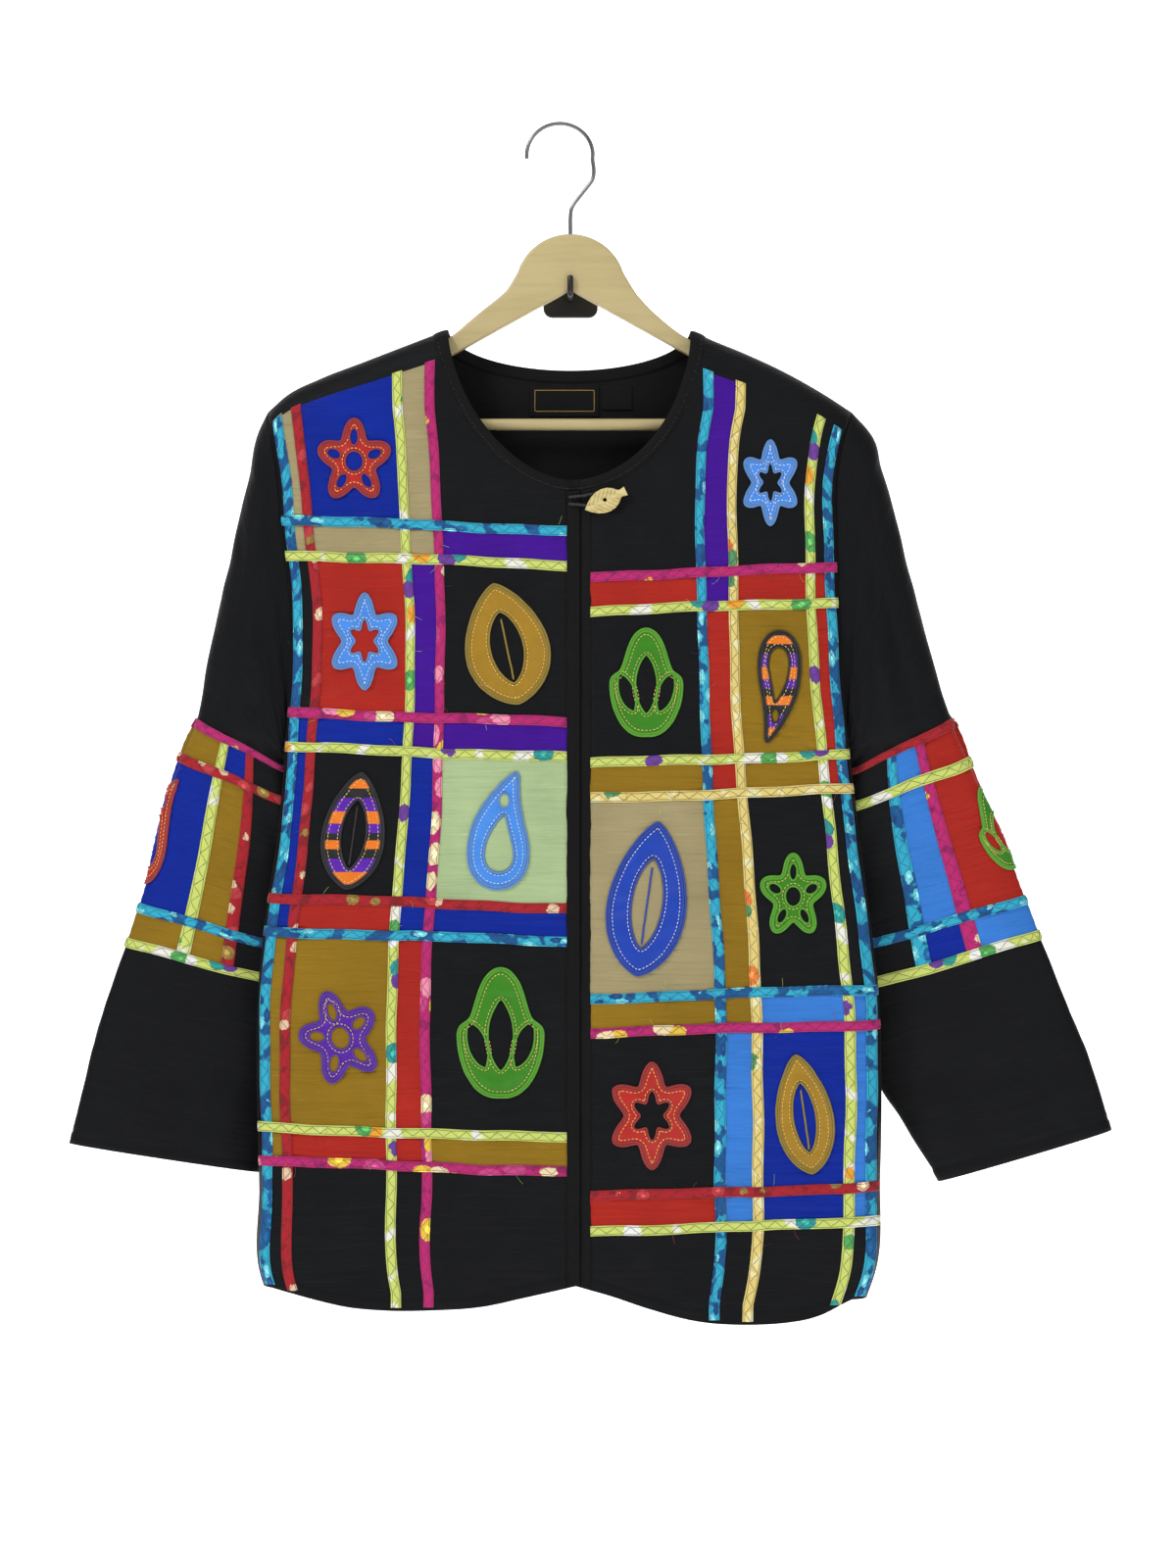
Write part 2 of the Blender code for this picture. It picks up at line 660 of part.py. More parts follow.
def sleeve_grid(side):
    rings = RINGS[side.name]
    around = [(share, True) for share in ACROSS] + [(share, False) for share in ACROSS[-2:0:-1]]
    rows = []
    for station in STATIONS:
        ring = row_at(rings, "along", station)
        fade = (1 - smooth(station / ARMHOLE_FADE)) ** ARMHOLE_FADE_POWER
        rows.append(
            [
                ring_point(ring, *place_on)
                + fade * (armhole_point(side, *place_on) - ring_point(rings[0], *place_on))
                for place_on in around
            ]
        )
    grid = np.array(rows) * (side.sign, 1, 1)
    middle = grid.mean(axis=1, keepdims=True)
    normals = facing(grid, grid - middle, wrapped=True)
    for column in range(grid.shape[1]):
        normals[0, column] = unit(normals[0, column] * (0, 1, 1))
    return grid, normals


def sleeve(side):
    """The sleeve's three lengths, which meet under the band's outermost tapes."""
    grid, normals = sleeve_grid(side)
    first = 0
    for name, last in (("upper", BAND_ROWS[0]), ("band", BAND_ROWS[1]), ("cuff", len(STATIONS) - 1)):
        outer = grid[first : last + 1].copy()
        if first:
            length = STATIONS[first + 1] - STATIONS[first]
            outer[0] += (outer[1] - outer[0]) * LENGTH_GAP / length
        inner = outer - normals[first : last + 1] * WALL
        sheet(f"sleeve_{side.name}_{name}", inner, outer, "silk", wrapped=True)
        first = last


def sleeve_tapes(side):
    """The tapes round a sleeve's patchwork band, and the pairs that run down it."""
    grid, normals = sleeve_grid(side)
    columns = grid.shape[1]
    cells = np.zeros((grid.shape[0] - 1, columns), bool)
    cells[list(TAPE_STATIONS), :] = True
    for column in TAPE_ACROSS:
        for around in (column, columns - 1 - column):
            cells[TAPE_STATIONS[0] : TAPE_STATIONS[-1] + 1, around] = True
    low = grid + normals * TAPE_GAP
    name = f"tapes_sleeve_{side.name}"
    return sheet(name, low, low + normals * TAPE_WALL, "tape", cells, wrapped=True)


def neck_border(side, is_front):
    """The places (out, drop) where the binding meets a panel, from the centre to the shoulder."""
    if is_front:
        top = panel_top(side, side.centre, FRONT_NECK_DEPTH, side.neck_power)
        places = [(side.centre, top)]
        places += [front_levels(side, out)[0] for out in side.columns if out <= side.corner]
    else:
        places = [back_levels(side, out)[0] for out in (*BACK_OUTS, side.corner)]
    beside, corner = np.array(places[-2:])
    places[-1:] = [corner + (beside - corner) * CORNER_SHARE, corner]
    return [(side.sign * out, drop) for out, drop in places]


def binding():
    """The strip round the neck, from one front's edge to the other, square to the panels' edges."""
    parts = [
        (RIGHT, True, neck_border(RIGHT, True)),
        (RIGHT, False, neck_border(RIGHT, False)[-2::-1]),
        (LEFT, False, neck_border(LEFT, False)[1:]),
        (LEFT, True, neck_border(LEFT, True)[-2::-1]),
    ]
    stations = [(side, is_front, place_on) for side, is_front, places in parts for place_on in places]
    line = np.array([place_on for _, _, place_on in stations])
    turns = neck_turns(line)
    turns[[0, -1]] = (0, -1)
    for number, (side, _, _) in enumerate(stations):
        if abs(line[number, 0]) >= side.corner:
            turns[number] = unit(np.array((-side.sign, -CORNER_RISE)))
    rows = []
    for (side, is_front, _), border, turn in zip(stations, line, turns):
        row = []
        gap = SLEEVE_GAP if abs(border[0]) >= side.corner else SEAM_GAP
        for reach in (0, BINDING_WIDTH / 2, BINDING_WIDTH):
            x, drop = border + turn * (gap + reach)
            y = front_y(side, side.sign * x, drop) if is_front else back_y(x, drop)
            row.append((x, y, -drop))
        rows.append(row)
    grid = np.array(rows)
    normals = facing(grid, grid - np.array((0, HANGER_Y, -TIP_DROP - 40)))
    for number, ((side, _, _), border, turn) in enumerate(zip(stations, line, turns)):
        for column in range(3):
            normals[number, column] = squared(normals[number, column], turn)
        if abs(border[0]) >= side.corner:
            normals[number] = (0, 0, 1)
    high = grid + normals * BINDING_RISE
    return sheet("binding", high - normals * BINDING_WALL, high, "trim")


def outline_of(shape):
    """The outline of a raised patch in a square from -1 to 1, as points (across, up)."""
    turns = [tau * number / OUTLINE_POINTS for number in range(OUTLINE_POINTS)]
    if shape == "flower":
        petals = [0.78 + 0.2 * cos(5 * t) for t in turns]
        return [(reach * sin(t), reach * cos(t)) for reach, t in zip(petals, turns)]
    if shape == "star":
        spokes = [0.98 if number % 3 == 0 else 0.6 for number in range(OUTLINE_POINTS)]
        return [(reach * sin(t), reach * cos(t)) for reach, t in zip(spokes, turns)]
    if shape == "leaf":
        return [(sin(t) * (1 - 0.22 * cos(t)) * abs(sin(t)) ** 0.4, cos(t)) for t in turns]
    if shape == "paisley":
        bent = [(sin(t) * (0.62 - 0.34 * cos(t)), cos(t)) for t in turns]
        return [(x + 0.42 * max(z, 0) ** 2 - 0.12, z) for x, z in bent]
    # A tulip has three points at the top and a round foot
    outline = []
    for t in turns:
        is_top = abs(sin(t / 2)) < 0.6
        reach = 0.86 + 0.14 * cos(3 * t) if is_top else 0.8 + 0.2 * abs(cos(t / 2))
        outline.append((0.9 * reach * sin(t), reach * cos(t)))
    return outline


def applique(name, motif, side, tree):
    """A raised patch whose underside follows the front that it lies on."""
    turn = radians(motif.turn)
    outline = []
    for x, z in outline_of(motif.shape):
        x, z = x * motif.wide / 2, z * motif.high / 2
        outline.append((x * cos(turn) - z * sin(turn), x * sin(turn) + z * cos(turn)))
    bm = bmesh.new()
    levels = []
    for lift in (APPLIQUE_GAP, APPLIQUE_GAP + APPLIQUE_WALL):
        rings = []
        for scale in (1, INNER_RING, 0):
            ring = []
            for x, z in outline if scale else outline[:1]:
                ahead = Vector((side.sign * motif.out + x * scale, RAY_START, z * scale - motif.drop))
                hit = tree.ray_cast(ahead, Vector((0, 1, 0)))[0]
                ring.append(bm.verts.new(hit - Vector((0, lift, 0))))
            rings.append(ring)
        levels.append(rings)
    count = len(outline)
    for number in range(count):
        after = (number + 1) % count
        for outer, inner, middle in levels:
            bm.faces.new((outer[number], outer[after], inner[after]))
            bm.faces.new((outer[number], inner[after], inner[number]))
            bm.faces.new((inner[number], inner[after], middle[0]))
        low, high = levels[0][0], levels[1][0]
        bm.faces.new((low[number], low[after], high[after]))
        bm.faces.new((low[number], high[after], high[number]))
    return place(name, bm, motif.colour)


def appliques(side):
    grid, _ = front_grid(side)
    rows, columns = grid.shape[:2]
    points = [Vector(point) for point in grid.reshape(-1, 3)]
    faces = []
    for row in range(rows - 1):
        for column in range(columns - 1):
            a = row * columns + column
            b, c, d = a + 1, a + columns + 1, a + columns
            faces += [(a, b, c), (a, c, d)]
    tree = BVHTree.FromPolygons(points, faces)
    for number, motif in enumerate(MOTIFS[side.name], 1):
        applique(f"applique_{side.name}_{number}_{motif.shape}", motif, side, tree)


def labels():
    """Two woven labels on the inside of the back, under the binding."""
    for name, low_x, high_x, top, bottom in LABELS:
        rows = []
        for drop in (top, (top + bottom) / 2, bottom):
            xs = np.linspace(low_x, high_x, 5)
            rows.append([(x, back_y(x, drop) - WALL - LABEL_GAP, -drop) for x in xs])
        grid = np.array(rows)
        sheet(name, grid - (0, LABEL_WALL, 0), grid, "trim")


def hanger_body():
    """The wooden hanger: a domed middle, two arms under the shoulders, and a bore for the hook."""
    outline = []
    for side in (RIGHT, LEFT):
        half = []
        for turn in range(0, DOME_TURN + 1, 10):
            angle = radians(turn)
            half.append((DOME_RADIUS * sin(angle), DOME_TOP - DOME_RADIUS * (1 - cos(angle))))
        half += [(out, -drop) for out, drop in ARM_TOPS[side.name]]
        half += [(out, -between(side.shoulder, out) - WALL - ARM_CLEARANCE) for out in ARM_STEPS]
        half += [(out, -drop) for out, drop in ARM_TIP]
        half.append((0, -CROTCH_DROP))
        points = [(side.sign * out, z) for out, z in half]
        outline += points[:-1] if side is RIGHT else points[:0:-1]
    low, high = HANGER_Y - HANGER_THICK / 2, HANGER_Y + HANGER_THICK / 2
    body = prism("hanger", outline, low, high, "birch", bevel=HANGER_BEVEL)
    ends = [(0, HANGER_Y, DOME_TOP - BORE_DEPTH), (0, HANGER_Y, DOME_TOP + BORE_OVER)]
    cut(body, tube("bore", ends, BORE_RADIUS, "birch"), "DIFFERENCE")


def hanger_bar():
    half = BAR_HALF
    outline = [(half * cos(tau * n / BAR_SIDES), half * sin(tau * n / BAR_SIDES)) for n in range(BAR_SIDES)]
    bm = bmesh.new()
    face = bm.faces.new([bm.verts.new((-BAR_END, HANGER_Y + y, z - BAR_DROP)) for y, z in outline])
    moved = bmesh.ops.extrude_face_region(bm, geom=[face])["geom"]
    verts = [item for item in moved if isinstance(item, bmesh.types.BMVert)]
    bmesh.ops.translate(bm, vec=(2 * BAR_END, 0, 0), verts=verts)
    return place("hanger_bar", bm, "birch")


def hanger_hook():
    """The steel hook: a stem in the bore, a lean to one side, and an open ring above it."""
    points = [(0, DOME_TOP - BORE_DEPTH + HOOK_FLOOR), *HOOK_LEAN]
    for turn in EYE_TURNS:
        angle = radians(turn)
        points.append((EYE_OUT + EYE_WIDE * cos(angle), EYE_RISE + EYE_HIGH * sin(angle)))
    path = spline([(x, HANGER_Y, z) for x, z in points], 2)
    return tube("hanger_hook", path, WIRE_RADIUS, "steel", 6)


def wall_hook():
    """A square plate on the wall, and a rod that turns up in front of the hanger."""
    half, corner = PLATE_SIDE / 2, PLATE_CORNER
    outline = []
    for number, (x, z) in enumerate(((1, 1), (-1, 1), (-1, -1), (1, -1))):
        for step in range(CORNER_STEPS + 1):
            angle = pi / 2 * (number + step / CORNER_STEPS)
            middle = np.array((x, z)) * (half - corner)
            outline.append(middle + corner * np.array((cos(angle), sin(angle))))
    plate = prism("wall_hook", outline, -PLATE_THICK, 0, "black_paint")
    low = -CROTCH_DROP - ROD_RADIUS - ROD_BELOW
    ahead = HANGER_Y - HANGER_THICK / 2 - ROD_RADIUS - ROD_AHEAD
    points = [(0, -PLATE_THICK / 2, low), (0, ahead + ROD_BEND, low)]
    for step in range(1, CORNER_STEPS + 1):
        angle = pi / 2 * step / CORNER_STEPS
        points.append((0, ahead + ROD_BEND * (1 - sin(angle)), low + ROD_BEND * (1 - cos(angle))))
    points.append((0, ahead, ROD_TOP))
    cut(plate, tube("rod", points, ROD_RADIUS, "black_paint", 10), "UNION")


def button_and_loop():
    """A carved leaf on the left front, and the cord from the right front that goes round it."""
    face_y = front_y(LEFT, BUTTON_OUT, BUTTON_DROP)
    loop_y = face_y - TAPE_GAP - LOOP_RADIUS
    tube("loop", [(x, loop_y, -drop) for x, drop in spline(LOOP, 2)], LOOP_RADIUS, "trim", 6)
    turn = radians(BUTTON_TURN)
    outline = []
    for x, z in (*LEAF, *((x, -z) for x, z in LEAF[:0:-1])):
        across, up = x * cos(turn) - z * sin(turn), x * sin(turn) + z * cos(turn)
        outline.append((BUTTON_OUT + across, up - BUTTON_DROP))
    near = loop_y - LOOP_RADIUS - TAPE_GAP
    prism("button", outline, near - BUTTON_THICK, near, "carved_wood", bevel=BUTTON_BEVEL)


clear_scene()
back()
for one in (RIGHT, LEFT):
    front(one)
    placket(one)
    sleeve(one)
    tapes(one)
    sleeve_tapes(one)
    appliques(one)
binding()
labels()
hanger_body()
hanger_bar()
hanger_hook()
wall_hook()
button_and_loop()
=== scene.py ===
from math import cos, pi, radians, sin, tau

import bmesh
import bpy
import numpy as np
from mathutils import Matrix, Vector


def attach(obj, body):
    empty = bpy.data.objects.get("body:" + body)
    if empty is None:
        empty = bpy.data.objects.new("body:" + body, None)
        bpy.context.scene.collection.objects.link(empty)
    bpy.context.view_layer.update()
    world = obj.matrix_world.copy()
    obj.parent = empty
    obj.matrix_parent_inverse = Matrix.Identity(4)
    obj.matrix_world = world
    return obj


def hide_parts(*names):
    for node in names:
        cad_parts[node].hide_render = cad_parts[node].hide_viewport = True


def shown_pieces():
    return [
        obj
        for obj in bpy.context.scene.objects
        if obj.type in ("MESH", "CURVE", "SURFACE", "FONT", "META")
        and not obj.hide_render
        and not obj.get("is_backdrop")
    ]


# All places are worked out in millimetres, in the CAD's frame, and turned to metres in a mesh.
# "out" is the distance from the middle plane to a side, "drop" the distance below the wall hook.
mm = 0.001
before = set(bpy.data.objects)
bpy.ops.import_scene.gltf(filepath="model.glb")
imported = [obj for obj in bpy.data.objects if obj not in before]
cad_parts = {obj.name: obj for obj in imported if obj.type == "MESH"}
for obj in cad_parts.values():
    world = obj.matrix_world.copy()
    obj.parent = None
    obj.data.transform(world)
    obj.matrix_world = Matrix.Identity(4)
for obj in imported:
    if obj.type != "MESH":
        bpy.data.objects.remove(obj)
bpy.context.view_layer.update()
bpy.context.scene.view_settings.view_transform = "Standard"
bpy.context.scene.view_settings.look = "None"
chance = np.random.default_rng(14)


# the garment's form, from the same values as the CAD
cloth = {
    "wall": 0.9,  # thickness of the silk
    "seamGap": 0.4,
    "sleeveGap": 0.2,
    "neckTop": 33.0,  # drop of the neck's corner
    "frontDepth": 115.0,
    "backDepth": 29.0,
    "border": 8.0,
    "hangerY": -32.0,
    "tipDrop": 95.0,
    "underarm": 343.0,
    "roll": 26.0,
    "backHem": 746.0,
    "tilt": 0.035,  # how far the lines across a front rise to its side, in a length of one
}
right = {
    "name": "right",
    "title": "Right",
    "sign": -1,
    "neckOut": 92.0,
    "neckPower": 1.75,
    "corner": 101.0,
    "centre": -7.4,
    "lap": 0.0,
    "edge": [
        (95, 228), (139, 221), (185, 217), (220, 212.5), (256, 210), (302, 211), (343, 214), (420, 221),
        (459, 227), (520, 234), (680, 234), (745, 233), (757, 229),
    ],
    "shoulder": [(93, 33), (114, 41), (158, 58), (189, 70), (216, 84), (228, 95)],
    "hem": [(-8, 751), (33, 760), (67, 767), (102, 770), (172, 767), (198, 761), (229, 753)],
    "columns": [
        2.2, 18, 38, 58, 76, 90, 97, 99.8, 101, 109, 126, 134, 151, 168, 185, 202, 210, 217, 225, 228,
    ],
    "lines": [182, 190, 208, 216, 326, 334, 352, 360, 465, 473, 490, 498, 637, 645, 662, 670],
    "tapeColumns": (8, 10, 15, 17),
}
left = {
    "name": "left",
    "title": "Left",
    "sign": 1,
    "neckOut": 90.5,
    "neckPower": 1.95,
    "corner": 99.0,
    "centre": 0.5,
    "lap": 3.2,
    "edge": [
        (95, 212), (117, 205), (140, 201), (198, 200.5), (256, 202.5), (314, 206), (343, 209), (386, 214),
        (505, 229), (533, 232), (602, 234), (670, 233), (744, 229), (766, 221),
    ],
    "shoulder": [(91, 33), (101, 38), (132, 51), (162, 65), (192, 82), (212, 95)],
    "hem": [(0, 751), (27, 758), (63, 769), (98, 778), (135, 781), (170, 779), (198, 773), (221, 762)],
    "columns": [14.8, 30, 48, 66, 81, 91, 96, 98, 99, 107, 124, 132, 150, 168, 186, 194, 201, 209, 212],
    "lines": [217, 225, 243, 251, 357, 365, 383, 391, 533, 541, 559, 567, 681, 689, 707, 715],
    "tapeColumns": (8, 10, 14, 16),
}
# drop, then how far back lie the front, the back, the front's edge, the back's edge; and the back's roll
depths = np.array(
    [
        (95, -53, -13, -50, -15, 30),
        (250, -57, -9, -51, -16, 30),
        (310, -58, -8, -49, -28, 46),
        (343, -58, -8, -46, -46, 60),
        (550, -59, -8, -46, -46, 74),
        (790, -61, -8, -46, -46, 74),
    ],
    float,
)
# out, width, height, top
frontFolds = [(58, 26, 2.4, 330), (128, 30, -2.2, 240), (176, 24, 2.0, 420), (96, 22, -1.8, 560)]
backFolds = [(-120, 24, 3.4, 200), (-52, 26, -3.0, 300), (8, 22, 3.2, 130), (66, 24, -3.2, 260)]
backFolds += [(128, 26, 3.0, 180)]


def curveThrough(pairs, at):
    # a smooth line through the pairs, straight beyond their ends
    keys, values = np.array(pairs, float).T
    slopes = np.gradient(values, keys)
    at = np.clip(at, keys[0], keys[-1])
    index = np.clip(np.searchsorted(keys, at, side="right") - 1, 0, len(keys) - 2)
    span = keys[index + 1] - keys[index]
    t = (at - keys[index]) / span
    a, b = values[index], values[index + 1]
    return (
        a * (1 + 2 * t) * (1 - t) ** 2
        + b * t * t * (3 - 2 * t)
        + span * (slopes[index] * t * (1 - t) ** 2 - slopes[index + 1] * t * t * (1 - t))
    )


def rounding(share, power=2.0):
    return (1 - (1 - np.clip(share, 0, 1)) ** power) ** (1 / power)


def smooth(share):
    share = np.clip(share, 0, 1)
    return share * share * (3 - 2 * share)


def bell(value, middle, width):
    return np.exp(-(((value - middle) / width) ** 2))


def unit(vectors):
    return vectors / np.maximum(np.linalg.norm(vectors, axis=-1, keepdims=True), 1e-9)


def eased(values):
    # each value round a closed loop drawn towards its two neighbours
    return (np.roll(values, 1, axis=0) + 2 * values + np.roll(values, -1, axis=0)) / 4


def rotated(places, angle):
    # places (across, up) turned anticlockwise
    across, up = places.T
    return np.stack([across * cos(angle) - up * sin(angle), across * sin(angle) + up * cos(angle)], axis=1)


def distances(path):
    # how far along the path each of its points lies
    return np.concatenate([[0], np.cumsum(np.linalg.norm(np.diff(path, axis=0), axis=1))])


def hemLift(end):
    # a hem is turned up and stitched: its last strip is thicker and lies below a groove
    return 0.45 * smooth((8.6 - end) / 1.2) - 0.35 * bell(end, 9.4, 0.9)


def layerAt(drop):
    return [np.interp(drop, depths[:, 0], depths[:, column]) for column in range(1, 6)]


def neckline(side, out, depth, power, border=0.0):
    share = np.minimum(np.abs(out) / (side["neckOut"] + border), 1)
    return cloth["neckTop"] + (depth + border) * (1 - share**power) ** (1 / power)


def panelTop(side, out, depth, power):
    border = cloth["border"] + cloth["seamGap"]
    shoulder = curveThrough(side["shoulder"], out)
    low = np.maximum(shoulder, neckline(side, out, depth, power, border))
    return np.where(out >= side["corner"], shoulder, low)


def foldsOf(rows, out, drop, inset):
    lift = 0.0
    for place, width, height, top in rows:
        lift = lift + height * bell(out, place, width) * smooth((drop - top) / 120)
    return lift * smooth(inset / 34)


def ripple(u, v, scale, seed):
    # an even, unrepeating unevenness, from -1 to 1, that needs no noise table
    turn = np.random.default_rng(seed)
    total = 0.0
    for size in (1.0, 0.62, 0.41, 0.27):
        for _ in range(3):
            angle, phase = turn.uniform(0, tau, 2)
            along = (u * cos(angle) + v * sin(angle)) / (scale * size)
            total = total + size * np.sin(tau * along + phase)
    return total / 3.2


# x0, drop0, x1, drop1, width, height of creases across a front: ridges towards the viewer, or dips
creases = {
    "right": [
        (214, 330, 150, 300, 7, 1.6),
        (218, 352, 160, 345, 6, -1.3),
        (196, 130, 214, 250, 9, 1.5),
        (112, 60, 120, 150, 10, 0.9),
        (70, 700, 60, 590, 11, 1.6),
        (150, 740, 143, 610, 12, -1.5),
        (30, 220, 36, 470, 9, 1.0),
        (200, 560, 190, 740, 9, 1.4),
        (100, 690, 96, 760, 8, 1.2),
        (60, 385, 110, 395, 8, 0.7),
    ],
    "left": [
        (208, 330, 148, 306, 7, 1.6),
        (212, 356, 150, 350, 6, -1.3),
        (188, 130, 198, 260, 9, 1.4),
        (28, 170, 70, 200, 9, 1.1),
        (24, 168, 34, 300, 7, 1.2),
        (56, 620, 50, 760, 11, 1.5),
        (112, 560, 120, 770, 12, -1.5),
        (168, 640, 172, 775, 11, 1.5),
        (205, 430, 214, 620, 9, 1.2),
        (84, 250, 88, 470, 12, 0.8),
    ],
}


def creaseLift(side, out, drop):
    lift = 0.0
    for x0, d0, x1, d1, width, height in creases[side["name"]]:
        dx, dd = x1 - x0, d1 - d0
        share = np.clip(((out - x0) * dx + (drop - d0) * dd) / (dx * dx + dd * dd), 0, 1)
        away = np.hypot(out - x0 - share * dx, drop - d0 - share * dd)
        lift = lift + 1.3 * height * np.exp(-((away / width) ** 2)) * (0.4 + 0.6 * np.sin(pi * share))
    return lift


def blockPucker(side, out, drop):
    # short wrinkles across each block, made by the stitching of the tapes
    line = drop + cloth["tilt"] * out
    lines = side["lines"]
    shade = 0.0
    for top, bottom in [(100, lines[0])] + [(lines[i], lines[i + 1]) for i in (3, 7, 11)]:
        shade = shade + smooth((line - top) / 5) * smooth((bottom - line) / 5)
    wander = ripple(out, drop, 70, 31) * 9
    return 0.4 * shade * np.sin(tau * (drop + wander) / 15.5) * (0.6 + 0.4 * ripple(out, drop, 44, 8))


def frontY(side, out, drop, fine=True):
    front, _, frontEdge, _, _ = layerAt(drop)
    inset = curveThrough(side["edge"], drop) - out
    y = frontEdge + (front - frontEdge) * rounding(inset / cloth["roll"])
    y = y - foldsOf(frontFolds, out, drop, inset)
    y = y + side["lap"] * (1 - smooth((out - side["centre"]) / 16))
    fall = drop - curveThrough(side["shoulder"], np.maximum(out, side["neckOut"] - 6))
    if fine:
        calm = smooth(inset / 20) * smooth((out - side["centre"]) / 26) * smooth(fall / 40)
        lift = creaseLift(side, out, drop) + 1.3 * ripple(out, drop, 90, 5) + blockPucker(side, out, drop)
        y = y - lift * calm
    return cloth["hangerY"] + (y - cloth["hangerY"]) * rounding(fall / cloth["roll"]) - cloth["seamGap"] / 2


def backY(x, drop, fine=True):
    y = 0.0
    for side, chosen in ((right, x < 0), (left, x >= 0)):
        _, back, _, backEdge, backRoll = layerAt(drop)
        inset = curveThrough(side["edge"], drop) - np.abs(x)
        one = backEdge + (back - backEdge) * rounding(inset / backRoll, 1.4)
        one = one - foldsOf(backFolds, x, drop, inset)
        if fine:
            one = one + smooth(inset / 30) * smooth((drop - 90) / 60) * 1.1 * (ripple(x, drop, 80, 9) - 0.7)
        out = np.maximum(np.abs(x), 93.0)
        fall = drop - curveThrough(side["shoulder"], out)
        one = cloth["hangerY"] + (one - cloth["hangerY"]) * rounding(fall / cloth["roll"])
        y = y + np.where(chosen, one + cloth["seamGap"] / 2, 0)
    return y


def columnAt(side, nominal, drop):
    # a column goes with the armhole and the side, from the centre edge to the outer one
    first, last = side["columns"][0], side["columns"][-1]
    return first + (nominal - first) / (last - first) * (curveThrough(side["edge"], drop) - first)


def onFront(side, out, drop):
    out, drop = np.broadcast_arrays(np.asarray(out, float), np.asarray(drop, float))
    return np.stack([side["sign"] * out, frontY(side, out, drop), -drop], axis=-1)


def frontFacing(side, out, drop):
    across = onFront(side, out + 1.5, drop) - onFront(side, out - 1.5, drop)
    down = onFront(side, out, drop + 1.5) - onFront(side, out, drop - 1.5)
    normal = unit(np.cross(across, down))
    return normal * np.where(normal[..., 1:2] > 0, -1, 1)


# mesh helpers
def gridFaces(rows, columns, wrapped=False, start=0):
    steps = columns if wrapped else columns - 1
    row, column = np.meshgrid(np.arange(rows - 1), np.arange(steps), indexing="ij")
    here, after = row * columns + column, row * columns + (column + 1) % columns
    return np.stack([here, after, after + columns, here + columns], axis=-1).reshape(-1, 4) + start


def select(piece):
    bpy.ops.object.select_all(action="DESELECT")
    piece.select_set(True)
    bpy.context.view_layer.objects.active = piece


def addObject(name, data):
    made = bpy.data.objects.new(name, data)
    bpy.context.scene.collection.objects.link(made)
    return made


def meshPiece(name, points, faces, finishes, uv=None, slots=None):
    # points in millimetres; uv is one pair for each point, in metres of cloth
    mesh = bpy.data.meshes.new(name)
    mesh.from_pydata((np.asarray(points) * mm).tolist(), [], [list(map(int, face)) for face in faces])
    for finish in finishes:
        mesh.materials.append(finish)
    if slots is not None:
        mesh.polygons.foreach_set("material_index", np.asarray(slots, np.int32))
    if uv is not None:
        layer = mesh.uv_layers.new(name="flat")
        index = np.empty(len(mesh.loops), np.int32)
        mesh.loops.foreach_get("vertex_index", index)
        layer.data.foreach_set("uv", np.asarray(uv, np.float32)[index].ravel())
    mesh.polygons.foreach_set("use_smooth", np.full(len(mesh.polygons), True))
    mesh.update()
    piece = addObject(name, mesh)
    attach(piece, "root")
    return piece


def faceOutwards(faces, points, towards):
    # turns all faces of a grid when most of them look away from "towards"
    corners = points[faces[:, :3]]
    normals = np.cross(corners[:, 1] - corners[:, 0], corners[:, 2] - corners[:, 0])
    return faces[:, ::-1] if (normals * towards[faces[:, 0]]).sum() < 0 else faces


def thicken(piece, thickness):
    # the side away from the viewer takes the second material
    select(piece)
    wall = piece.modifiers.new("wall", "SOLIDIFY")
    wall.thickness = thickness * mm
    wall.offset = -1
    wall.use_rim = True
    wall.material_offset = 1
    bpy.ops.object.modifier_apply(modifier="wall")


def paint(piece, colours):
    # the colour of each face, read by the patchwork's material
    attribute = piece.data.attributes.new("patchColour", "FLOAT_COLOR", "FACE")
    values = colours.reshape(-1, 3)
    values = np.concatenate([values, np.ones((len(values), 1))], axis=1)
    attribute.data.foreach_set("color", values.astype(np.float32).ravel())


def clothPiece(name, points, uv, ahead, finish, colours=None, thickness=cloth["wall"]):
    # a grid of points as cloth with a wall; ahead is -1 where its outer side looks towards the viewer
    flat = points.reshape(-1, 3)
    faces = faceOutwards(gridFaces(*points.shape[:2]), flat, np.tile((0, ahead, 0), (len(flat), 1)))
    piece = meshPiece(name, flat, faces, [finish, innerSilk], np.stack(uv, axis=-1).reshape(-1, 2) * mm)
    if colours is not None:
        paint(piece, colours)
    thicken(piece, thickness)
    return piece


def cappedFaces(count, around):
    # a tube of rings with a face over each end
    faces = gridFaces(count, around, True).tolist()
    return faces + [list(range(around)), list(range((count - 1) * around, count * around))[::-1]]


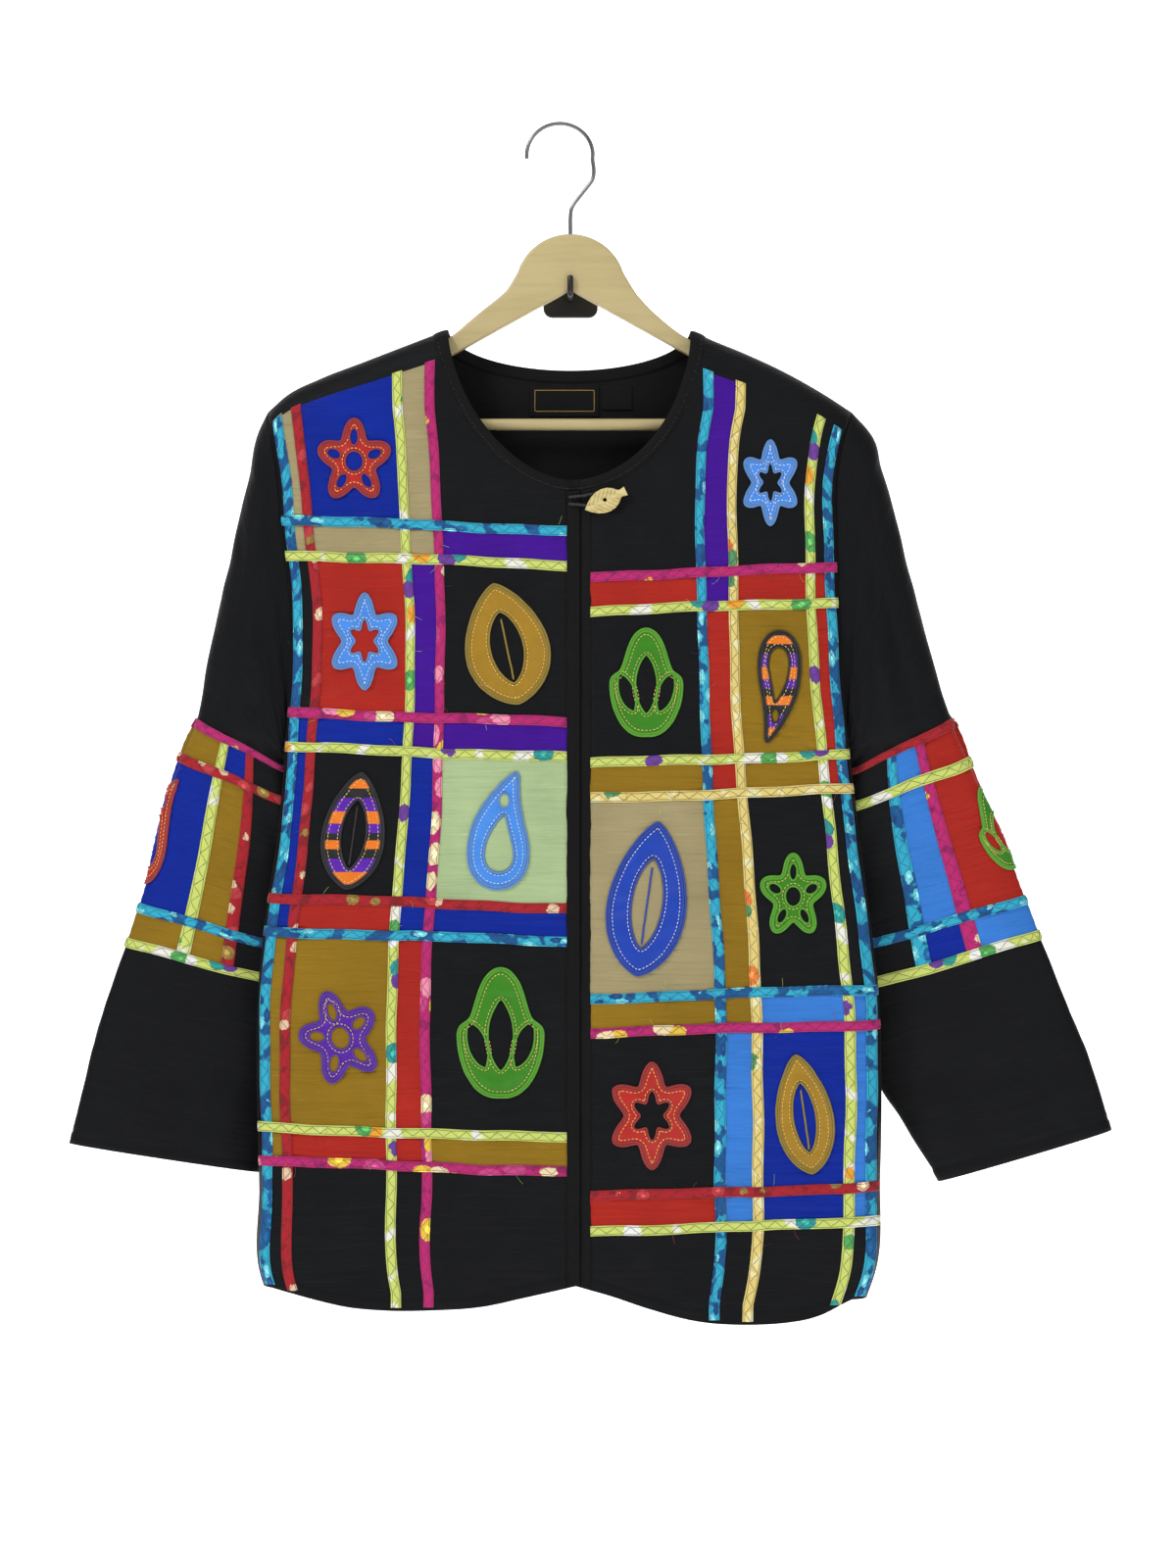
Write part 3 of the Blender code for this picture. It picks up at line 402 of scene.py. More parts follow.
def tubeMesh(path, up, radius, sides=6, taper=False, closed=False):
    # one tube round a path, as points, faces and (along, around) in millimetres
    path, count = np.asarray(path, float), len(path)
    if closed:
        along = np.roll(path, -1, axis=0) - np.roll(path, 1, axis=0)
    else:
        along = np.gradient(path, axis=0)
    along = unit(along)
    up = np.broadcast_to(np.asarray(up, float), path.shape)
    up = unit(up - along * (up * along).sum(axis=1, keepdims=True))
    aside = np.cross(along, up)
    radii = np.broadcast_to(np.asarray(radius, float), (count,)).copy()
    if taper:
        radii[[0, -1]] *= 0.35
    turns = tau * np.arange(sides) / sides
    ring = np.cos(turns)[None, :, None] * up[:, None] + np.sin(turns)[None, :, None] * aside[:, None]
    points = (path[:, None] + ring * radii[:, None, None]).reshape(-1, 3)
    faces = gridFaces(count, sides, True)[:, ::-1].tolist()
    if closed:
        last, first = (count - 1) * sides, 0
        for number in range(sides):
            after = (number + 1) % sides
            faces.append([last + after, last + number, first + number, first + after][::-1])
    else:
        faces.append(list(range(sides)))
        faces.append(list(range((count - 1) * sides, count * sides))[::-1])
    uv = np.stack([np.repeat(distances(path), sides), np.tile(turns, count)], axis=1)
    return points, faces, uv


class Batch:
    # gathers many small shapes into one mesh
    def __init__(self):
        self.points, self.faces, self.uv, self.slots, self.count = [], [], [], [], 0

    def add(self, points, faces, uv=None, slot=0):
        self.points.append(np.asarray(points, float))
        self.uv.append(np.zeros((len(points), 2)) if uv is None else np.asarray(uv, float))
        self.faces += [[index + self.count for index in face] for face in faces]
        self.slots += [slot] * len(faces)
        self.count += len(points)

    def build(self, name, finishes):
        points, uv = np.concatenate(self.points), np.concatenate(self.uv)
        piece = meshPiece(name, points, self.faces, finishes, uv * mm, self.slots)
        bm = bmesh.new()
        bm.from_mesh(piece.data)
        bmesh.ops.recalc_face_normals(bm, faces=bm.faces)
        bm.to_mesh(piece.data)
        bm.free()
        return piece


def addStitches(batch, middles, alongs, ups, length, width, height, slot=0):
    # each stitch is three square rings and two tips, along one axis and standing on another
    corners = [(1, 0), (0, 1), (-1, 0), (0, -1)]
    sizes = ((-0.36, 0.8), (0.0, 1.0), (0.36, 0.8))
    rings = [(place, size * a, size * b) for place, size in sizes for a, b in corners]
    shape = np.array([(-0.5, 0, 0), *rings, (0.5, 0, 0)]) * (length, width / 2, height / 2)
    faces = []
    for n in range(4):
        after = (n + 1) % 4
        faces += [[0, 1 + after, 1 + n], [9 + n, 9 + after, 13]]
        faces += [[ring + n, ring + after, ring + 4 + after, ring + 4 + n] for ring in (1, 5)]
    for middle, along, up in zip(middles, alongs, ups):
        axes = np.stack([along, np.cross(along, up), up])
        batch.add(middle + shape @ axes, faces, None, slot)


# materials
class Socket:
    # sums, differences, products and comparisons of sockets, as Math nodes
    def __init__(self, finish, socket):
        self.finish, self.socket = finish, socket

    def math(self, operation, first, second):
        return self.finish.node("ShaderNodeMath", {"operation": operation}, {0: first, 1: second})

    def __add__(self, other):
        return self.math("ADD", self, other)

    def __mul__(self, other):
        return self.math("MULTIPLY", self, other)

    def __rsub__(self, other):
        return self.math("SUBTRACT", other, self)

    def __lt__(self, other):
        return self.math("LESS_THAN", self, other)

    __radd__, __rmul__ = __add__, __mul__


class Finish:
    def __init__(self, name, roughness=0.6, metallic=0.0, sheen=0.0, coat=0.0, specular=0.5):
        self.material = bpy.data.materials.new(name)
        self.material.use_nodes = True
        self.tree = self.material.node_tree
        self.shader = self.tree.nodes["Principled BSDF"]
        self.set("Roughness", roughness)
        self.set("Metallic", metallic)
        self.set("Sheen Weight", sheen)
        self.set("Sheen Roughness", 0.4)
        self.set("Coat Weight", coat)
        self.set("Coat Roughness", 0.2)
        self.set("Specular IOR Level", specular)

    def node(self, kind, settings=None, inputs=None, output=0):
        made = self.tree.nodes.new(kind)
        for key, value in (settings or {}).items():
            if key == "stops":
                self.setStops(made.color_ramp, value)
            else:
                setattr(made, key, value)
        for key, value in (inputs or {}).items():
            self.feed(made.inputs[key], value)
        return Socket(self, made.outputs[output])

    def setStops(self, ramp, stops):
        ramp.interpolation = "CONSTANT" if stops[0][0] == "steps" else "LINEAR"
        stops = [stop for stop in stops if stop[0] != "steps"]
        while len(ramp.elements) < len(stops):
            ramp.elements.new(0.5)
        for element, (place, colour) in zip(ramp.elements, stops):
            element.position = place
            element.color = (*colour, 1)

    def feed(self, socket, value):
        if isinstance(value, Socket):
            self.tree.links.new(value.socket, socket)
        elif isinstance(value, (tuple, list)) and len(value) == 3 and socket.type == "RGBA":
            socket.default_value = (*value, 1)
        else:
            socket.default_value = value

    def set(self, name, value):
        self.feed(self.shader.inputs[name], value)

    def uv(self):
        return self.node("ShaderNodeUVMap", {"uv_map": "flat"})

    def place(self):
        return self.node("ShaderNodeTexCoord", None, None, "Object")

    def scaled(self, vector, scale):
        return self.node("ShaderNodeMapping", None, {"Vector": vector, "Scale": scale})

    def part(self, vector, axis):
        return self.node("ShaderNodeSeparateXYZ", None, {0: vector}, axis)

    def noise(self, vector, scale=1.0, detail=2.0, roughness=0.5, distortion=0.0):
        inputs = {"Vector": vector, "Scale": scale, "Detail": detail, "Roughness": roughness}
        return self.node("ShaderNodeTexNoise", None, {**inputs, "Distortion": distortion}, "Fac")

    def streaks(self, vector, scales, detail=2.0, roughness=0.5, distortion=0.0):
        # noise drawn out along the axis with the smallest scale
        return self.noise(self.scaled(vector, scales), 1.0, detail, roughness, distortion)

    def cells(self, vector, scale, output="Distance"):
        return self.node("ShaderNodeTexVoronoi", None, {"Vector": vector, "Scale": scale}, output)

    def mix(self, factor, first, second):
        return self.node("ShaderNodeMix", {"data_type": "RGBA"}, {0: factor, 6: first, 7: second}, 2)

    def shade(self, colour, factor):
        # a colour made lighter or darker by a number
        return self.node("ShaderNodeVectorMath", {"operation": "SCALE"}, {0: colour, "Scale": factor})

    def ramp(self, factor, stops):
        return self.node("ShaderNodeValToRGB", {"stops": stops}, {0: factor})

    def fall(self, value, low, high, start=0.0, end=1.0):
        inputs = {0: value, 1: low, 2: high, 3: start, 4: end}
        return self.node("ShaderNodeMapRange", {"interpolation_type": "SMOOTHSTEP"}, inputs)

    def bump(self, height, distance, strength=1.0, under=None):
        inputs = {"Height": height, "Distance": distance, "Strength": strength}
        if under:
            inputs["Normal"] = under
        return self.node("ShaderNodeBump", None, inputs)


def silkFinish(name, colour=None, attribute=None, shine=0.5, slubs=1.0, wrinkles=0.0):
    # dupion: even fine warp, uneven weft that shows as slubs across the cloth
    finish = Finish(name, sheen=0.015, specular=0.12)
    flat = finish.uv()
    slub = finish.streaks(flat, (22, 620, 1), 3.0, 0.62)
    knot = finish.streaks(flat, (60, 900, 1), 1.0, 0.5)
    broad = finish.noise(flat, 14.0, 3.0, 0.55)
    weave = finish.streaks(flat, (2600, 2600, 1), 1.0, 0.4)
    thick = finish.fall(slub, 0.56, 0.74) * finish.fall(knot, 0.4, 0.7)
    base = finish.node("ShaderNodeAttribute", {"attribute_name": attribute}) if attribute else colour
    # painted shade: the broad blotches vary the silk's tone at random and are made strong enough to stand in
    # for the shade of soft folds; the slubs and knots are the silk's own
    slubToneAndFoldShade = 0.66 + 0.3 * slub + 0.42 * broad + 0.5 * slubs * thick
    finish.set("Base Color", finish.shade(base, slubToneAndFoldShade))
    finish.set("Roughness", 0.66 - 0.24 * shine - 0.1 * thick + 0.16 * knot)
    height = slub * 0.45 + thick * 0.8 * slubs + weave * 0.25
    under = None
    if wrinkles:
        # short wrinkles across the cloth, where the tapes' stitching draws it up
        drawn = finish.streaks(flat, (16, 125, 1), 2.0, 0.45, 0.35)
        if attribute:
            dyedness = finish.node("ShaderNodeAttribute", {"attribute_name": attribute}, None, "Fac")
            drawn = drawn * finish.fall(dyedness, 0.01, 0.06, 0.2, 1.0)
        under = finish.bump(drawn, 0.004 * wrinkles, 1.0)
    finish.set("Normal", finish.bump(height, 0.0006, 0.8, under))
    return finish.material


def printFinish(name, ground, second, blooms, petals, share, patch, size, cloudy=95.0, stretch=(1, 1, 1)):
    # a small cotton print: a ground clouded with a second colour, and scattered blooms with paler hearts
    # petals is a bloom's radius in cells, share how many cells have one, patch where the clouds begin
    finish = Finish(name, roughness=0.78, sheen=0.1, specular=0.25)
    flat = finish.uv()
    cloud = finish.noise(flat, cloudy, 2.0, 0.5)
    colour = finish.mix(finish.fall(cloud, patch, patch + 0.05), ground, second)
    bending = finish.node("ShaderNodeTexNoise", None, {"Vector": flat, "Scale": 420.0}, "Color")
    inputs = {0: finish.scaled(flat, stretch), 1: finish.shade(bending, 0.003)}
    bent = finish.node("ShaderNodeVectorMath", {"operation": "ADD"}, inputs)
    distance = finish.cells(bent, 1 / size)
    picked = finish.cells(bent, 1 / size, "Color")
    which = finish.part(picked, 0)
    kept = finish.part(picked, 1) < share
    stops = [("steps", None)] + [(number / len(blooms), bloom) for number, bloom in enumerate(blooms)]
    bloomColour = finish.ramp(which, stops)
    colour = finish.mix((distance < petals) * kept, colour, bloomColour)
    heart = finish.shade(bloomColour, 1.9)
    colour = finish.mix((distance < petals * 0.38) * kept, colour, heart)
    weave = finish.streaks(flat, (1700, 1700, 1), 2.0, 0.5)
    finish.set("Base Color", finish.shade(colour, 0.86 + 0.28 * weave))
    finish.set("Normal", finish.bump(weave, 0.00025, 0.6))
    return finish.material


def satinFinish(name, colour, second=None):
    # the satin of a raised patch, shot along its length; or one striped across
    finish = Finish(name, roughness=0.42, sheen=0.05, specular=0.35)
    flat = finish.uv()
    shot = finish.streaks(flat, (260, 1500, 1), 2.0, 0.5)
    broad = finish.noise(flat, 60.0, 2.0, 0.5)
    if second:
        stops = [("steps", None)] + second
        turned = finish.part(flat, 1) * 22.0
        wrapped = finish.node("ShaderNodeMath", {"operation": "FRACT"}, {0: turned})
        colour = finish.ramp(wrapped, stops)
    finish.set("Base Color", finish.shade(colour, 0.72 + 0.3 * shot + 0.3 * broad))
    finish.set("Roughness", 0.34 + 0.22 * shot)
    finish.set("Normal", finish.bump(shot, 0.00025, 0.5))
    return finish.material


def threadFinish(name, colour, metallic=0.0, roughness=0.5, twist=900.0):
    finish = Finish(name, roughness=roughness, metallic=metallic, sheen=0.0 if metallic else 0.2)
    place = finish.place()
    glint = finish.noise(place, twist, 1.0, 0.5)
    finish.set("Base Color", finish.shade(colour, 0.6 + 0.8 * glint))
    finish.set("Normal", finish.bump(glint, 0.0002, 0.7))
    return finish.material


dye = {
    "black": (0.0050, 0.0054, 0.0064),
    "blue": (0.002, 0.019, 0.29),
    "rust": (0.40, 0.020, 0.012),
    "purple": (0.052, 0.004, 0.27),
    "khaki": (0.36, 0.30, 0.155),
    "mustard": (0.27, 0.155, 0.010),
    "sage": (0.40, 0.52, 0.27),
    "sky": (0.040, 0.20, 0.64),
}
dyed = {name: np.array(colour) for name, colour in dye.items()}
patchSilk = silkFinish("patchSilk", attribute="patchColour", shine=0.75, slubs=1.0, wrinkles=1.0)
blackSilk = silkFinish("blackSilk", dye["black"], shine=0.45, wrinkles=0.2)
innerSilk = silkFinish("innerSilk", (0.0055, 0.0055, 0.0062), shine=0.2)
trimCloth = silkFinish("trimCloth", (0.0058, 0.0058, 0.0064), shine=0.15, slubs=0.2)
prints = {
    "lime": printFinish(
        "limePrint", (0.62, 0.71, 0.165), (0.86, 0.86, 0.74),
        [(0.03, 0.33, 0.30), (0.86, 0.38, 0.03), (0.16, 0.05, 0.34), (0.10, 0.40, 0.10), (0.9, 0.9, 0.85)],
        petals=0.38, share=0.4, patch=0.57, size=0.021, cloudy=34.0, stretch=(1, 1.2, 1),
    ),
    "cyan": printFinish(
        "cyanBatik", (0.030, 0.42, 0.62), (0.008, 0.10, 0.30),
        [(0.008, 0.07, 0.24), (0.20, 0.70, 0.78), (0.010, 0.14, 0.38)],
        petals=0.38, share=0.75, patch=0.5, size=0.0085, cloudy=60.0, stretch=(0.6, 1.4, 1),
    ),
    "magenta": printFinish(
        "magentaPrint", (0.52, 0.018, 0.17), (0.34, 0.010, 0.13),
        [(0.85, 0.55, 0.06), (0.90, 0.28, 0.42), (0.88, 0.72, 0.42), (0.60, 0.06, 0.24)],
        petals=0.42, share=0.75, patch=0.56, size=0.019, stretch=(0.9, 1.3, 1),
    ),
    "red": printFinish(
        "redPrint", (0.44, 0.012, 0.022), (0.28, 0.010, 0.018),
        [(0.80, 0.55, 0.36), (0.55, 0.05, 0.06), (0.34, 0.22, 0.05)],
        petals=0.36, share=0.55, patch=0.55, size=0.014,
    ),
    "yellow": printFinish(
        "yellowPrint", (0.78, 0.62, 0.20), (0.86, 0.78, 0.42),
        [(0.80, 0.22, 0.05), (0.10, 0.30, 0.12), (0.70, 0.05, 0.12), (0.05, 0.16, 0.42)],
        petals=0.4, share=0.3, patch=0.56, size=0.017, stretch=(0.9, 1.2, 1),
    ),
}
threads = {
    "dark": threadFinish("darkThread", (0.022, 0.024, 0.018)),
    "lime": threadFinish("limeThread", (0.50, 0.66, 0.10)),
    "gold": threadFinish("goldThread", (1.0, 0.74, 0.24), 0.75, 0.28, 2600.0),
    "silver": threadFinish("silverThread", (0.92, 0.95, 1.0), 0.75, 0.28, 2600.0),
}


def cordFinish(name, colour):
    # a satin-stitched edge: fine threads side by side across the cord
    finish = Finish(name, roughness=0.5, sheen=0.2)
    flat = finish.uv()
    along = finish.part(flat, 0)
    wave = finish.node("ShaderNodeMath", {"operation": "SINE"}, {0: along * (tau / 0.0007)})
    broken = finish.noise(flat, 500.0, 2.0, 0.5)
    finish.set("Base Color", finish.shade(colour, 0.66 + 0.16 * wave + 0.4 * broken))
    finish.set("Normal", finish.bump(wave * 0.5 + broken * 0.4, 0.00025, 0.8))
    return finish.material


print("materials ready")

# the two fronts
blocks = {
    # rows are the top, the blocks and the strips between tapes from the top down; columns are the wide block
    # by the centre, the strip, the narrow block and the strip at the side; what is below and beyond is black
    "right": [
        ("black", "khaki", "blue", "khaki"),
        ("purple", "khaki", "khaki", "khaki"),
        ("black", "purple", "rust", "black"),
        ("purple", "purple", "blue", "blue"),
        ("sage", "blue", "black", "blue"),
        ("blue", "blue", "rust", "blue"),
        ("black", "rust", "mustard", "mustard"),
        ("mustard", "rust", "rust", "mustard"),
    ],
    "left": [
        ("black", "purple", "black", "black"),
        ("rust", "purple", "rust", "rust"),
        ("black", "rust", "mustard", "rust"),
        ("mustard", "rust", "mustard", "rust"),
        ("khaki", "mustard", "black", "black"),
        ("mustard", "mustard", "sky", "sky"),
        ("black", "sky", "blue", "sky"),
        ("rust", "sky", "blue", "sky"),
    ],
}


def columnZone(side, nominal):
    lows = [side["columns"][index] for index in side["tapeColumns"]]
    return np.searchsorted(np.array(lows) + 4, nominal)


def rowZone(side, line):
    edges = [value + 4 for value in side["lines"][::2]]
    return np.searchsorted(np.array(edges), line)


def fineSteps(values, size):
    steps = [values[0]]
    for low, high in zip(values, values[1:]):
        count = max(1, round((high - low) / size))
        steps += list(np.linspace(low, high, count + 1)[1:])
    return np.array(steps)


def withCorner(values, side):
    # more steps just inside the neck's corner, where the neckline drops steeply
    return np.union1d(values, side["corner"] - np.array([4.0, 3.0, 2.2, 1.6, 1.1, 0.75, 0.45, 0.2]))


def frontLevels(side, nominal, size):
    # the drops of a column's rows: as many in each span for every column
    lines = side["lines"]
    counts = [max(2, round((high - low) / size)) for low, high in zip(lines, lines[1:])]
    start = [value - cloth["tilt"] * nominal for value in lines]
    top = float(panelTop(side, nominal, cloth["frontDepth"], side["neckPower"]))
    shares = fineSteps([0, 0.012, 0.04, 0.085, 0.16, 0.3, 0.5, 0.75, 1], 0.022)
    drops = list(top + shares * (start[0] - top))
    for low, high, count in zip(start, start[1:], counts):
        drops += list(np.linspace(low, high, count + 1)[1:])
    end = float(curveThrough(side["hem"], float(columnAt(side, nominal, start[-1]))))
    below = np.concatenate([np.linspace(0, 0.90, 30)[1:], [0.915, 0.935, 0.96, 0.985, 1.0]])
    drops += list(start[-1] + (end - start[-1]) * below)
    return np.array(drops)


def buildFront(side):
    nominals = withCorner(fineSteps(side["columns"], 3.4), side)
    drops = np.stack([frontLevels(side, nominal, 2.4) for nominal in nominals], axis=1)
    outs = columnAt(side, nominals[None, :], drops)
    points = onFront(side, outs, drops)
    points[..., 1] -= hemLift(drops[-1:] - drops)
    # each patch takes its colour from the block that its middle lies in
    middles = (drops[:-1, :-1] + drops[1:, 1:]) / 2
    across = np.broadcast_to((nominals[:-1] + nominals[1:]) / 2, middles.shape)
    line = middles + cloth["tilt"] * across
    top = drops[:1, :-1]
    isYoke = (middles - top) < 0.16 * (side["lines"][0] - cloth["tilt"] * across - top)
    colours = np.tile(dyed["black"], (*middles.shape, 1))
    zoneAcross, zoneDown = columnZone(side, across), rowZone(side, line)
    for row, names in enumerate(blocks[side["name"]]):
        for column, dyeName in enumerate(names):
            colours[(zoneDown == row) & (zoneAcross == column)] = dyed[dyeName]
    colours[isYoke] = dyed["black"]
    uv = np.broadcast_to(nominals, drops.shape), drops
    piece = clothPiece("front" + side["title"], points, uv, -1, patchSilk, colours)
    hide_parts("front_" + side["name"])
    return piece


tapeShares = (0, 0.12, 0.5, 0.88, 1.0)
tapePlan = {
    # prints of the tapes down each front from the centre out, then of the tapes across it from the top
    "right": (
        ("magenta", "lime", "red", "cyan"),
        ("cyan", "lime", "magenta", "lime", "red", "cyan", "lime", "magenta"),
    ),
    "left": (
        ("cyan", "yellow", "lime", "cyan"),
        ("magenta", "lime", "lime", "yellow", "cyan", "magenta", "red", "lime"),
    ),
    "gap": 0.25,
    "thick": 0.6,
    "cross": 0.85,  # how much higher the tape that goes over lies
    "zigzag": 12.0,  # pitch of the zigzag stitch
    "thread": 0.21,
    "width": 8.0,
}
printNames = list(prints)


def strip(surface, facing, firstEdge, secondEdge, lifts):
    # a raised strip between two edges given as parameter lines, as a closed tube of seven points a station
    gap, thick = tapePlan["gap"], tapePlan["thick"]
    rows = []
    for share in tapeShares:
        place = firstEdge + (secondEdge - firstEdge) * share
        height = gap + thick + 0.25 * (1 - (2 * share - 1) ** 2) - (0.35 * thick if share in (0, 1) else 0)
        rows.append(surface(place) + facing(place) * (lifts + height)[:, None])
    for edge in (secondEdge, firstEdge):
        rows.append(surface(edge) + facing(edge) * (lifts + gap)[:, None])
    return np.stack(rows, axis=1)


def addStrip(batch, ring, printName, start):
    count, around = ring.shape[:2]
    along = distances(ring[:, 2]) + start
    acrosses = np.array([*tapeShares, 1.0, 0.0]) * tapePlan["width"]
    uv = np.stack([np.repeat(along, around), np.tile(acrosses, count)], axis=1)
    batch.add(ring.reshape(-1, 3), cappedFaces(count, around), uv, printNames.index(printName))


def tapeThreads(batch, surface, facing, firstEdge, secondEdge, lifts, seed):
    # a wide zigzag down the tape and a straight line near each edge
    count = len(firstEdge)
    top = tapePlan["gap"] + tapePlan["thick"]
    amount = 8 * max(2, round(distances(surface(firstEdge))[-1] / tapePlan["zigzag"]))
    wobble = np.random.default_rng(seed).uniform(-0.04, 0.04, amount + 1)
    for kind in ("zigzag", "near", "far"):
        at = np.linspace(0, count - 1, amount + 1)
        low = np.floor(at).astype(int).clip(0, count - 2)
        part = (at - low)[:, None]
        first = firstEdge[low] * (1 - part) + firstEdge[low + 1] * part
        second = secondEdge[low] * (1 - part) + secondEdge[low + 1] * part
        lift = lifts[low] * (1 - part[:, 0]) + lifts[low + 1] * part[:, 0]
        if kind == "zigzag":
            across = (0.2 + 0.6 * np.abs(np.arange(amount + 1) / 4 % 2 - 1) + wobble)[:, None]
        else:
            across = np.full((amount + 1, 1), 0.14 if kind == "near" else 0.87)
            across += 0.03 * np.sin(np.arange(amount + 1) / 3)[:, None]
        place = first + (second - first) * across
        crown = 0.25 * (1 - (2 * across[:, 0] - 1) ** 2)
        normal = facing(place)
        path = surface(place) + normal * (lift + top + crown + 0.05)[:, None]
        batch.add(*tubeMesh(path, normal, tapePlan["thread"], 3))


def layTape(strips, sewing, surface, facing, edges, lifts, printName, start, seed):
    addStrip(strips, strip(surface, facing, *edges, lifts), printName, start)
    tapeThreads(sewing, surface, facing, *edges, lifts, seed)


def buildTapes(side):
    strips, sewing = Batch(), Batch()

    def surface(place):
        return onFront(side, columnAt(side, place[:, 0], place[:, 1]), place[:, 1])

    def facing(place):
        return frontFacing(side, columnAt(side, place[:, 0], place[:, 1]), place[:, 1])

    downs, acrosses = tapePlan[side["name"]]
    columns, lines = side["columns"], side["lines"]
    middles = [(columns[index] + columns[index + 1]) / 2 for index in side["tapeColumns"]]
    for number, index in enumerate(side["tapeColumns"]):
        low, high = columns[index], columns[index + 1]
        end = float(curveThrough(side["hem"], float(columnAt(side, (low + high) / 2, 700.0)))) - 2.5
        edges = []
        for value in (low + 0.2, high - 0.2):
            # its end is cut along the slope of the yoke line
            top = float(panelTop(side, value, cloth["frontDepth"], side["neckPower"]))
            start = top + 0.155 * (lines[0] - cloth["tilt"] * value - top) - 0.6
            drops = np.linspace(start, end, 270)
            wander = 0.5 * np.sin(drops / 37 + number * 2.1) + 0.3 * np.sin(drops / 11 + number)
            edges.append(np.stack([value + wander, drops], axis=1))
        lifts = np.zeros(len(drops))
        layTape(strips, sewing, surface, facing, edges, lifts, downs[number], 137.0 * number, number)
    for number in range(8):
        low, high = lines[2 * number], lines[2 * number + 1]
        nominals = np.arange(columns[0] + 0.4, columns[-1] - 0.3, 2.6)
        wander = 0.6 * np.sin(nominals / 33 + number * 1.7) + 0.3 * np.sin(nominals / 9 + number)
        line = wander - cloth["tilt"] * nominals
        edges = [np.stack([nominals, value + line], axis=1) for value in (low + 0.2, high - 0.2)]
        lifts = tapePlan["cross"] * sum(smooth((9.5 - np.abs(nominals - middle)) / 4.5) for middle in middles)
        layTape(strips, sewing, surface, facing, edges, lifts, acrosses[number], 211.0 * number, 40 + number)
    piece = strips.build("tapes" + side["title"], list(prints.values()))
    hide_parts("tapes_" + side["name"])
    sewing.build("tapeSewing" + side["title"], [threads["dark"]])


def frayTapes(side, batch, amount):
    # loose thread ends that stick out of the tapes' cut edges
    columns, lines = side["columns"], side["lines"]
    for _ in range(amount):
        if chance.random() < 0.5:
            index = side["tapeColumns"][chance.integers(0, 4)]
            nominal = columns[index + chance.integers(0, 2)]
            drop = chance.uniform(lines[0], 745)
            heading = chance.uniform(-0.5, 0.5) + (0 if chance.random() < 0.5 else pi)
        else:
            nominal = chance.uniform(columns[0] + 6, columns[-1] - 6)
            drop = lines[chance.integers(0, 16)] - cloth["tilt"] * nominal
            heading = pi / 2 + chance.uniform(-0.6, 0.6)
            heading += 0 if chance.random() < 0.5 else pi
        out = float(columnAt(side, nominal, drop))
        length, bend = chance.uniform(3, 9), chance.uniform(-0.25, 0.25)
        places = []
        for step in range(6):
            places.append((out, drop))
            out += length / 5 * cos(heading)
            drop += length / 5 * sin(heading)
            heading += bend
        places = np.array(places)
        outs, drops = places.T
        if drops.max() > 748 or outs.max() > columns[-1] - 8 or outs.min() < columns[0] + 2:
            continue
        normal = frontFacing(side, outs, drops)
        lift = np.linspace(0.9, 0.9 + chance.uniform(0.4, 1.4), 6)[:, None]
        path = onFront(side, outs, drops) + normal * lift
        batch.add(*tubeMesh(path, normal, 0.11, 3), int(chance.integers(0, 3)))


for side in (right, left):
    front = buildFront(side)
    # cut: about 26 cm across at the hem and 76 cm long, with the neck and armhole taken out of it
    buildTapes(side)
    print("front", side["name"], "done")


# raised patches: motif, its middle (out, drop), width, height, turn, satin, and the block's silk inside it
motifs = {
    "right": [
        ("flower", 162, 134, 58, 66, 0, "red", "blue"),
        ("leaf", 48, 271, 62, 92, 12, "gold", "black"),
        ("star", 154, 269, 56, 74, 0, "sky", "rust"),
        ("paisley", 50, 411, 66, 88, 0, "sky", "sage"),
        ("leaf", 162, 411, 46, 88, -8, "striped", "black"),
        ("tulip", 52, 567, 76, 108, 0, "green", "black"),
        ("flower", 172, 566, 62, 74, 18, "purple", "mustard"),
    ],
    "left": [
        ("star", 150, 150, 46, 66, 0, "sky", "black"),
        ("tulip", 57, 304, 64, 90, 0, "green", "black"),
        ("paisley", 154, 303, 46, 84, 180, "striped", "mustard"),
        ("leaf", 58, 462, 58, 116, -8, "blue", "khaki"),
        ("flower", 167, 460, 52, 66, 0, "green", "black"),
        ("star", 61, 624, 68, 82, 0, "red", "black"),
        ("leaf", 175, 623, 42, 90, 8, "gold", "blue"),
    ],
}
satinColours = {
    "red": (0.46, 0.016, 0.012),
    "gold": (0.36, 0.20, 0.012),
    "sky": (0.060, 0.26, 0.78),
    "green": (0.036, 0.22, 0.006),
    "blue": (0.008, 0.050, 0.42),
    "purple": (0.090, 0.012, 0.36),
}
stripeStops = [
    (0.0, (0.82, 0.19, 0.012)), (0.2, (0.10, 0.012, 0.40)), (0.42, (0.014, 0.014, 0.016)),
    (0.58, (0.82, 0.19, 0.012)), (0.72, (0.014, 0.014, 0.016)), (0.84, (0.10, 0.012, 0.40)),
]
satins = {name: satinFinish(name + "Satin", colour) for name, colour in satinColours.items()}
satins["striped"] = satinFinish("stripedSatin", (0, 0, 0), stripeStops)
edgeColours = {
    "red": (0.42, 0.030, 0.030),
    "gold": (0.36, 0.25, 0.03),
    "sky": (0.13, 0.34, 0.78),
    "green": (0.12, 0.45, 0.02),
    "blue": (0.02, 0.075, 0.48),
    "purple": (0.12, 0.03, 0.42),
    "striped": (0.016, 0.016, 0.018),
}
edges = {name: cordFinish(name + "Edge", colour) for name, colour in edgeColours.items()}
grounds = {name: silkFinish(name + "Ground", colour, shine=0.6, slubs=0.6) for name, colour in dye.items()}


